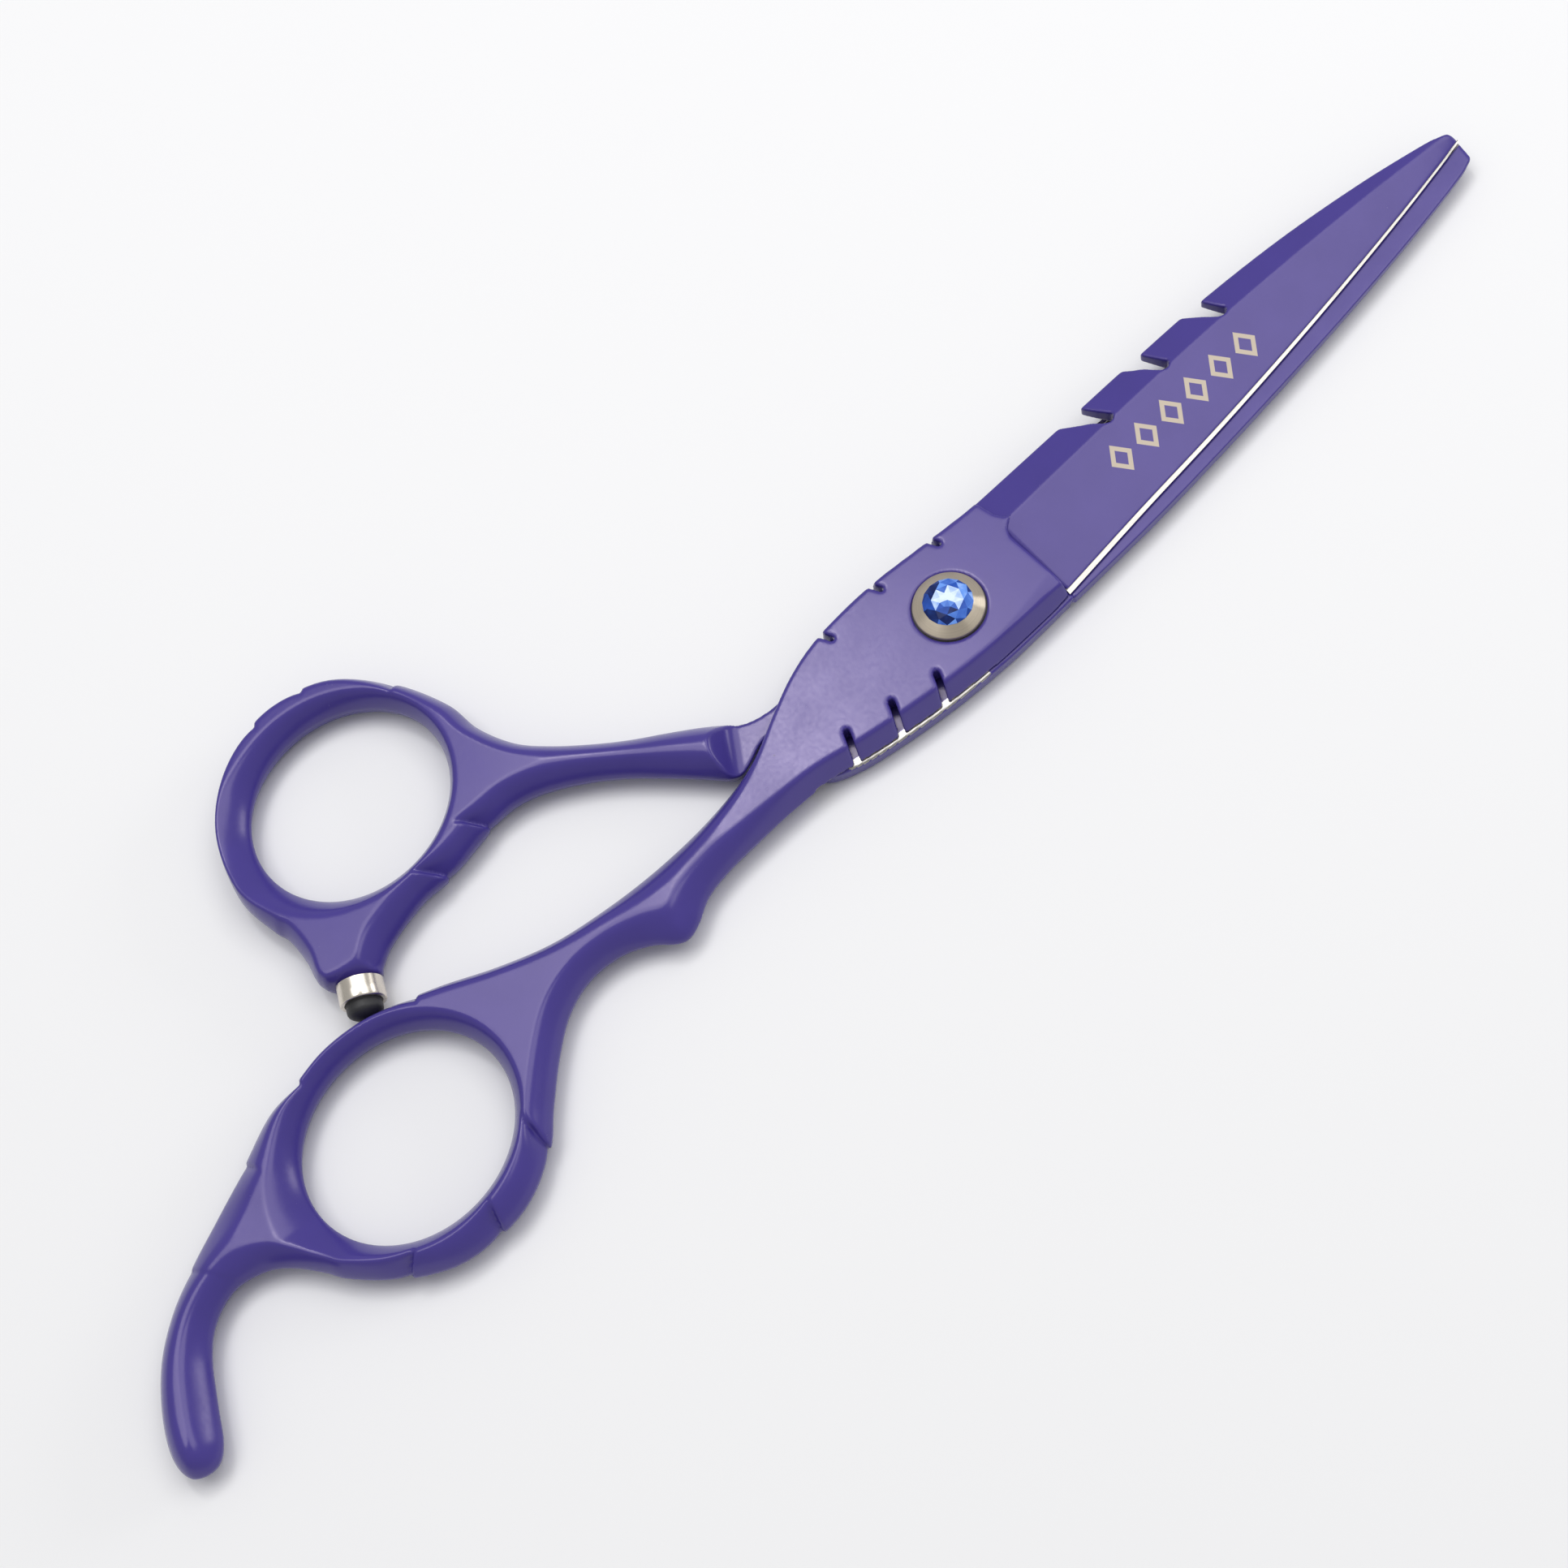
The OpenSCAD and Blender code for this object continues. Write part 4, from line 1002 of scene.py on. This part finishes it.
class Wire:
    """One output of a material's nodes; arithmetic on it adds Math nodes."""

    def __init__(self, tree, socket):
        self.tree = tree
        self.socket = socket

    def node(self, kind, settings, inputs, output=0):
        """A node of any kind: settings first, then values or links of its sockets; gives one output."""
        made = self.tree.nodes.new(kind)
        for key, value in settings.items():
            if key == "stops":
                fill_ramp(made.color_ramp.elements, value)
            else:
                setattr(made, key, value)
        for key, value in inputs.items():
            if isinstance(value, Wire):
                self.tree.links.new(value.socket, made.inputs[key])
            else:
                made.inputs[key].default_value = value
        return Wire(self.tree, made.outputs[output])

    def out(self, name):
        """Another output of the same node."""
        return Wire(self.tree, self.socket.node.outputs[name])

    def maths(self, operation, first, second=0.0, clamp=False):
        """A Math node on two values."""
        settings = {"operation": operation, "use_clamp": clamp}
        return self.node("ShaderNodeMath", settings, {0: first, 1: second})

    def __add__(self, other):
        return self.maths("ADD", self, other)

    __radd__ = __add__

    def __mul__(self, other):
        return self.maths("MULTIPLY", self, other)

    __rmul__ = __mul__

    def __sub__(self, other):
        return self.maths("SUBTRACT", self, other)

    def __rsub__(self, other):
        return self.maths("SUBTRACT", other, self)

    def clamped(self):
        """The value held between none and one."""
        return self.maths("ADD", self, 0.0, clamp=True)

    def size(self):
        """The value without its sign."""
        return self.maths("ABSOLUTE", self)

    def above(self, level, softness):
        """Zero below a level and one above it, over a short ramp."""
        return ((self - level) * (1 / softness) + 0.5).clamped()

    def swing(self, by):
        """The value's swing about one half, scaled."""
        return (self - 0.5) * by

    def raised(self, low, by):
        """The value scaled and set on a lowest level."""
        return low + self * by


def fill_ramp(elements, stops):
    """Places and colours of a ramp's stops: a new ramp has the two ends, and the others come between."""
    for element, end in zip(elements, (stops[0], stops[-1])):
        element.position, element.color = end
    for place, tone in stops[1:-1]:
        elements.new(place).color = tone


def opaque(tone, share_left=1):
    """A colour with full alpha, darkened to a share of itself."""
    return (*[share_left * part for part in tone], 1)


def mixed(factor, first, second):
    """A colour between two, by a factor."""
    inputs = {MIX_FACTOR: factor, MIX_FIRST: first, MIX_SECOND: second}
    return factor.node("ShaderNodeMix", {"data_type": "RGBA"}, inputs, output=MIX_RESULT)


def noise(place, waves, detail, stretch=(1, 1, 1)):
    """A cloud pattern, its size as the wave count a metre, stretched along the axes."""
    laid = place.node("ShaderNodeMapping", {}, {"Vector": place, "Scale": stretch})
    return place.node("ShaderNodeTexNoise", {}, {"Vector": laid, "Scale": waves, "Detail": detail})


class Finish:
    """A material that is being made: its shader and its object coordinates."""

    def __init__(self, name):
        self.material = bpy.data.materials.new(name)
        self.material.use_nodes = True
        tree = self.material.node_tree
        self.shader = tree.nodes["Principled BSDF"]
        coordinates = tree.nodes.new("ShaderNodeTexCoord")
        self.place = Wire(tree, coordinates.outputs["Object"])

    def carried(self, name):
        """A value that the mesh carries."""
        return self.place.node("ShaderNodeAttribute", {"attribute_name": name}, {}, output="Fac")

    def set(self, **values):
        """Feeds shader sockets, named with underscores for spaces: numbers directly, wires by a link."""
        for key, value in values.items():
            socket = self.shader.inputs[key.replace("_", " ")]
            if isinstance(value, Wire):
                self.place.tree.links.new(value.socket, socket)
            else:
                socket.default_value = value

    def bump(self, height, strength, distance):
        """Bends the surface by a height pattern, with the distance in millimetres."""
        made = self.place.node("ShaderNodeBump", {}, {
            "Height": height, "Strength": strength, "Distance": distance * MM})
        self.set(Normal=made)


def lozenge_row(place):
    """One inside a row of etched lozenges on the upper blade's main face, zero elsewhere."""
    row = LOZENGES
    end = row["start"] + row["count"] * row["pitch"]
    apart = place.node("ShaderNodeSeparateXYZ", {}, {0: place})
    along, across, up = [apart.out(axis) * (1 / MM) for axis in ("X", "Y", "Z")]
    beat = along.maths("FRACT", (along - row["start"]) * (1 / row["pitch"]))
    lengthwise = (beat - 0.5).size() * (row["pitch"] / row["half_length"])
    figure = lengthwise + (across - row["middle"]).size() * (1 / row["half_width"])
    outline = figure.above(row["inner"], softness=0.05) * (1 - figure.above(row["outer"], softness=0.05))
    within = along.above(row["start"], softness=0.02) * (1 - along.above(end, softness=0.02))
    return outline * (within * up.above(row["above"], softness=0.1))


def violet_paint(name, finish, marked):
    """Satin violet paint: a fine orange-peel skin, faint mottling and specks, gone where steel is bare."""
    made = Finish(name)
    place = made.place
    cloud = noise(place, waves=220, detail=3)
    skin = noise(place, waves=2600, detail=2)
    tone = mixed(cloud.above(level=0.5, softness=0.5), opaque(finish.paint), opaque(finish.paint_shade))
    cells = place.node("ShaderNodeTexVoronoi", {}, {"Vector": place, "Scale": SPECKS["waves"]})
    speck = 1 - cells.above(SPECKS["size"], SPECKS["softness"])
    tone = mixed(speck * SPECKS["strength"], tone, opaque(SPECKS["tone"]))
    roughness = finish.paint_roughness + skin.swing(by=0.12) + cloud.swing(by=0.1)
    if marked:
        mark = lozenge_row(place)
        tone = mixed(mark * LOZENGES["strength"], tone, opaque(finish.mark))
        roughness = roughness + mark * LOZENGES["roughness"]
    bare = made.carried("bare").above(level=0, softness=0.12)
    streak = noise(place, waves=1, detail=4, stretch=RIDE_SCRATCHES)
    ground = mixed(streak, opaque(finish.steel), opaque(finish.steel, share_left=0.8))
    ground_roughness = streak.raised(low=0.2, by=0.16)
    made.set(
        Base_Color=mixed(bare, tone, ground),
        Metallic=bare,
        Roughness=roughness * (1 - bare) + ground_roughness * bare,
        Specular_IOR_Level=0.5,
        Specular_Tint=opaque(finish.paint_glint),
    )
    made.bump(skin * (1 - bare) + streak * bare, strength=0.06, distance=0.05)
    return made.material


def ground_steel(name, tone, stretch, low, spread):
    """Ground or turned bare metal: fine scratches stretched along the work, a little uneven in gloss."""
    made = Finish(name)
    streak = noise(made.place, waves=1, detail=4, stretch=stretch)
    smear = noise(made.place, waves=500, detail=2)
    made.set(
        Base_Color=mixed(streak, opaque(tone), opaque(tone, share_left=0.82)),
        Metallic=1.0,
        Roughness=streak.raised(low, by=spread) + smear.swing(by=0.1),
    )
    made.bump(streak, strength=0.08, distance=0.03)
    return made.material


def turned_nickel(name, tone):
    """Turned nickel: fine rings about the pivot's axis."""
    made = Finish(name)
    place = made.place
    apart = place.node("ShaderNodeSeparateXYZ", {}, {0: place})
    x = apart.out("X")
    y = apart.out("Y")
    radius = x.maths("SQRT", x * x + y * y)
    rings = place.node("ShaderNodeTexNoise", {"noise_dimensions": "1D"}, {
        "W": radius, "Scale": 9000, "Detail": 3})
    smear = noise(place, waves=700, detail=3)
    made.set(
        Base_Color=mixed(rings, opaque(tone), opaque(tone, share_left=0.78)),
        Metallic=1.0,
        Roughness=rings.raised(low=0.26, by=0.12) + smear.swing(by=0.1),
        Anisotropic=0.95,
        Anisotropic_Rotation=0.25,
    )
    made.bump(rings, strength=0.12, distance=0.04)
    return made.material


def crystal_painted_light(finish):
    """Cut crystal with a foiled back: each facet carries painted reflection from painted shade to painted
    highlight in blues, swung by a glitter noise as painted sparkle, under a gloss.
    """
    made = Finish("crystal_painted_light")
    glitter = noise(made.place, waves=1400, detail=1)
    shade = (made.carried("tint") + glitter.swing(by=0.3)).clamped()
    tones = (finish.crystal_dark, finish.crystal_deep, finish.crystal_bright, finish.crystal_pale)
    stops = [(place, opaque(tone)) for place, tone in zip(CRYSTAL_STOPS, tones)]
    base = made.place.node("ShaderNodeValToRGB", {"stops": stops}, {"Fac": shade})
    made.set(Base_Color=base, Roughness=glitter.raised(low=0.06, by=0.05), Specular_IOR_Level=0.12)
    return made.material


def moulded(name, tone, roughness, grain):
    """Moulded rubber, nylon or cement: a fine grained skin with cloudy gloss."""
    made = Finish(name)
    fine = noise(made.place, waves=grain, detail=3)
    cloud = noise(made.place, waves=grain / CLOUD_GRAINS, detail=2)
    light = [min(1, CLOUD_GAIN * part + CLOUD_LIFT) for part in tone]
    made.set(
        Base_Color=mixed(cloud.above(level=0.55, softness=0.4), opaque(tone), opaque(light)),
        Roughness=roughness + fine.swing(by=0.25),
    )
    made.bump(fine, strength=0.25, distance=0.04)
    return made.material


# Operators

def build_half(context, names, finishes, rides, fields, boxes, lines, side):
    """Handle, blade and cutting bevel of one half; side 1 is the upper half and side -1 the lower one."""
    sizes = context.scene.shears_sizes
    finish = context.scene.shears_finish
    handle, blade, edge = names
    forging, bare, ground = fields
    paint = violet_paint(finishes[0], finish, marked=side > 0)
    steel = ground_steel(finishes[1], finish.steel, BEVEL_SCRATCHES, low=0.16, spread=0.14)
    forged_piece(handle, forging, sizes, boxes[0], FORGING_PITCH, bare, paint, *rides)
    forged_piece(blade, ground, sizes, boxes[1], BLADE_PITCH, bare_blade(lines, side), paint, *rides)
    cutting_bevel(edge, lines, side, sizes, steel, *rides)


class SHEARS_OT_finger_half(bpy.types.Operator):
    """Build the finger half: handle and pivot plate, upper blade and its cutting bevel"""

    bl_idname = "shears.finger_half"
    bl_label = "Finger half"

    def execute(self, context):
        names = ("finger_handle", "finger_blade", "finger_edge")
        finishes = ("violet_paint_upper", "bevel_steel_upper")
        rides = ("finger_side", "finger_half")
        fields = (finger_forging, bare_upper_plate, upper_blade)
        build_half(context, names, finishes, rides, fields, FINGER_BOXES, UPPER_LINES, side=1)
        return {"FINISHED"}


class SHEARS_OT_thumb_half(bpy.types.Operator):
    """Build the thumb half: handle and pivot plate, lower blade and its cutting bevel"""

    bl_idname = "shears.thumb_half"
    bl_label = "Thumb half"

    def execute(self, context):
        names = ("thumb_handle", "thumb_blade", "thumb_edge")
        finishes = ("violet_paint_lower", "bevel_steel_lower")
        rides = ("thumb_side", "thumb_half")
        fields = (thumb_forging, bare_lower_plate, lower_blade)
        build_half(context, names, finishes, rides, fields, THUMB_BOXES, LOWER_LINES, side=-1)
        return {"FINISHED"}


class SHEARS_OT_pivot_screw(bpy.types.Operator):
    """Build the pivot screw with its bevelled head and crystal cup"""

    bl_idname = "shears.pivot_screw"
    bl_label = "Pivot screw"

    def execute(self, context):
        sizes = context.scene.shears_sizes
        cup = millimetres(sizes.crystal_diameter) / 2 - CUP["inset"]
        floor = millimetres(sizes.table_diameter) / 4
        profile = [*SCREW_SHANK, *stepped(millimetres(sizes.head_diameter) / 2, HEAD_SIDE)]
        profile += [(cup, CUP["rim"]), (floor, CUP["floor"]), (0, CUP["floor"])]
        nickel = turned_nickel("turned_nickel_head", context.scene.shears_finish.nickel)
        turned_piece("pivot_head", profile, UPRIGHT, nickel, "finger_side", "pivot_screw",
                     steps=128, sharp_angle=35)
        return {"FINISHED"}


class SHEARS_OT_crystal(bpy.types.Operator):
    """Build the brilliant-cut crystal in the screw's head"""

    bl_idname = "shears.crystal"
    bl_label = "Crystal"

    def execute(self, context):
        points, faces, painted_lights = brilliant(context.scene.shears_sizes)
        mesh = bpy.data.meshes.new("pivot_crystal")
        mesh.from_pydata((points * MM).tolist(), [], faces)
        # Each facet carries its painted reflection level, from painted shade to painted highlight
        tint = mesh.attributes.new("tint", "FLOAT", "FACE")
        tint.data.foreach_set("value", painted_lights)
        material = crystal_painted_light(context.scene.shears_finish)
        new_object("pivot_crystal", mesh, material, "finger_side", ["crystal"])
        return {"FINISHED"}


class SHEARS_OT_hidden_pieces(bpy.types.Operator):
    """Finish the washers, the bush, the spring, the nut and the cement, whose CAD shapes stay"""

    bl_idname = "shears.hidden_pieces"
    bl_label = "Washers, bush, spring, nut and cement"

    def execute(self, context):
        finish = context.scene.shears_finish
        finishes = {
            "crystal_cement": moulded("cement", finish.cement, roughness=0.5, grain=2500),
            "head_washer": moulded("black_nylon", finish.black_nylon, roughness=0.5, grain=3000),
            "friction_washer": moulded("pale_nylon", finish.pale_nylon, roughness=0.45, grain=3000),
            "pivot_bush": ground_steel("bronze", finish.bronze, BUSH_SCRATCHES, low=0.28, spread=0.2),
            "tension_spring": ground_steel(
                "spring_steel", finish.spring, SPRING_SCRATCHES, low=0.25, spread=0.2),
            "tension_nut": turned_nickel("turned_nickel_nut", finish.nickel),
        }
        for node, material in finishes.items():
            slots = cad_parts[node].data.materials
            slots.clear()
            slots.append(material)
        return {"FINISHED"}


class SHEARS_OT_bumper(bpy.types.Operator):
    """Build the bumper's bright sleeve and its rubber pad"""

    bl_idname = "shears.bumper"
    bl_label = "Bumper"

    def execute(self, context):
        sizes = context.scene.shears_sizes
        finish = context.scene.shears_finish
        axes = bumper_axes(sizes)
        sleeve = millimetres(sizes.sleeve_diameter) / 2
        pad = millimetres(sizes.pad_diameter) / 2
        profile = [*SLEEVE_STUD, *stepped(sleeve, SLEEVE_SIDE), *stepped(pad, SLEEVE_MOUTH)]
        profile += [(0, SLEEVE_MOUTH[-1][1])]
        plated = ground_steel("sleeve_steel", finish.sleeve, SLEEVE_SCRATCHES, low=0.16, spread=0.2)
        turned_piece("bumper_sleeve_turned", profile, axes, plated, "thumb_side",
                     "bumper_sleeve", steps=96, sharp_angle=40)
        rise = pad / 2
        crown = np.radians(np.arange(0, 90, DOME_STEP))
        dome = [(pad * np.cos(a), PAD_END - rise + rise * np.sin(a)) for a in crown]
        profile = [(0, PAD_SIDE[0][1]), *stepped(pad, PAD_SIDE), *dome, (0, PAD_END)]
        rubber = moulded("bumper_rubber", finish.rubber, roughness=0.55, grain=4000)
        turned_piece("bumper_pad_moulded", profile, axes, rubber, "thumb_side",
                     "bumper_pad", steps=96, sharp_angle=60)
        return {"FINISHED"}


class SHEARS_OT_stage(bpy.types.Operator):
    """Set the pale floor, the soft lamps, the room light and the camera"""

    bl_idname = "shears.stage"
    bl_label = "Stage"

    def execute(self, context):
        scene = context.scene
        finish = scene.shears_finish
        scene.view_settings.view_transform = "Standard"
        self.lay_floor(scene, finish)
        self.light_room(scene, finish)
        for name, place, target, size, part in LAMPS:
            self.hang_lamp(scene, name, place, target, size, part * finish.lamp_power)
        self.place_camera(scene)
        return {"FINISHED"}

    def lay_floor(self, scene, finish):
        """A pale square floor just under the lowest point, faintly clouded."""
        level = CAD_BOX[0][2] - FLOOR_GAP * MM
        corners = [(x * FLOOR_REACH, y * FLOOR_REACH, level) for x, y in ((-1, -1), (1, -1), (1, 1), (-1, 1))]
        mesh = bpy.data.meshes.new("studio_floor")
        mesh.from_pydata(corners, [], [(0, 1, 2, 3)])
        made = Finish("studio_paper")
        cloud = noise(made.place, waves=6, detail=2)
        made.set(
            Base_Color=mixed(cloud, opaque(finish.floor), opaque(finish.floor, share_left=0.985)),
            Roughness=cloud.raised(low=0.7, by=0.1),
            Specular_IOR_Level=0.2,
        )
        mesh.materials.append(made.material)
        floor = bpy.data.objects.new("studio_floor", mesh)
        scene.collection.objects.link(floor)

    def light_room(self, scene, finish):
        """Even pale light from all round."""
        world = bpy.data.worlds.new("studio_room")
        scene.world = world
        world.use_nodes = True
        sky = world.node_tree.nodes["Background"]
        sky.inputs["Color"].default_value = (1, 1, 1, 1)
        sky.inputs["Strength"].default_value = finish.world_light

    def hang_lamp(self, scene, name, place, target, size, power):
        """A rectangular area lamp at a place, turned to a target, in metres."""
        lamp = bpy.data.lights.new(name, "AREA")
        lamp.shape = "RECTANGLE"
        lamp.size, lamp.size_y = size
        lamp.energy = power
        back = np.array(place) - np.array(target)
        back = back / np.linalg.norm(back)
        right = np.cross((0, 1, 0), back)
        right = right / np.linalg.norm(right)
        self.set_up(scene, name, lamp, (right, np.cross(back, right), back), place)

    def place_camera(self, scene):
        """The photograph's viewpoint."""
        lens = bpy.data.cameras.new("photo_camera")
        lens.sensor_width = SENSOR_WIDTH
        lens.lens = CAMERA_FOCAL_PIXELS / PHOTO_PIXELS * SENSOR_WIDTH
        lens.clip_start = MM
        ways = (CAMERA_RIGHT, CAMERA_UP, CAMERA_BACK)
        scene.camera = self.set_up(scene, "photo_camera", lens, ways, np.array(CAMERA_PLACE) * MM)

    def set_up(self, scene, name, data, ways, place):
        """A lamp or a camera in the scene, by its ways to the right, up and back, and its place in metres."""
        made = bpy.data.objects.new(name, data)
        rows = [[*row, part] for row, part in zip(np.stack(ways, axis=1), place)]
        made.matrix_world = Matrix(rows + [[0, 0, 0, 1]])
        scene.collection.objects.link(made)
        return made


class SHEARS_PT_panel(bpy.types.Panel):
    """Sidebar panel that lists the pieces, the stage, the sizes and the finishes"""

    bl_idname = "SHEARS_PT_panel"
    bl_label = "Shears"
    bl_space_type = "VIEW_3D"
    bl_region_type = "UI"
    bl_category = "Shears"

    def draw(self, context):
        for operator in OPERATORS:
            self.layout.operator(operator.bl_idname)
        for group in (context.scene.shears_sizes, context.scene.shears_finish):
            for name in group.bl_rna.properties.keys():
                if name not in ("rna_type", "name"):
                    self.layout.prop(group, name)


OPERATORS = (
    SHEARS_OT_finger_half,
    SHEARS_OT_thumb_half,
    SHEARS_OT_pivot_screw,
    SHEARS_OT_crystal,
    SHEARS_OT_hidden_pieces,
    SHEARS_OT_bumper,
    SHEARS_OT_stage,
)
CLASSES = (ShearsSizes, ShearsFinish, *OPERATORS, SHEARS_PT_panel)


def register():
    """Add the classes and the two groups of values to the scene."""
    for item in CLASSES:
        bpy.utils.register_class(item)
    bpy.types.Scene.shears_sizes = bpy.props.PointerProperty(type=ShearsSizes)
    bpy.types.Scene.shears_finish = bpy.props.PointerProperty(type=ShearsFinish)


def unregister():
    """Take them away again."""
    del bpy.types.Scene.shears_finish
    del bpy.types.Scene.shears_sizes
    for item in reversed(CLASSES):
        bpy.utils.unregister_class(item)


def main():
    register()
    bpy.ops.shears.finger_half()
    bpy.ops.shears.thumb_half()
    bpy.ops.shears.pivot_screw()
    bpy.ops.shears.crystal()
    bpy.ops.shears.hidden_pieces()
    bpy.ops.shears.bumper()
    bpy.ops.shears.stage()
    bpy.context.view_layer.update()


if __name__ == "__main__":
    main()
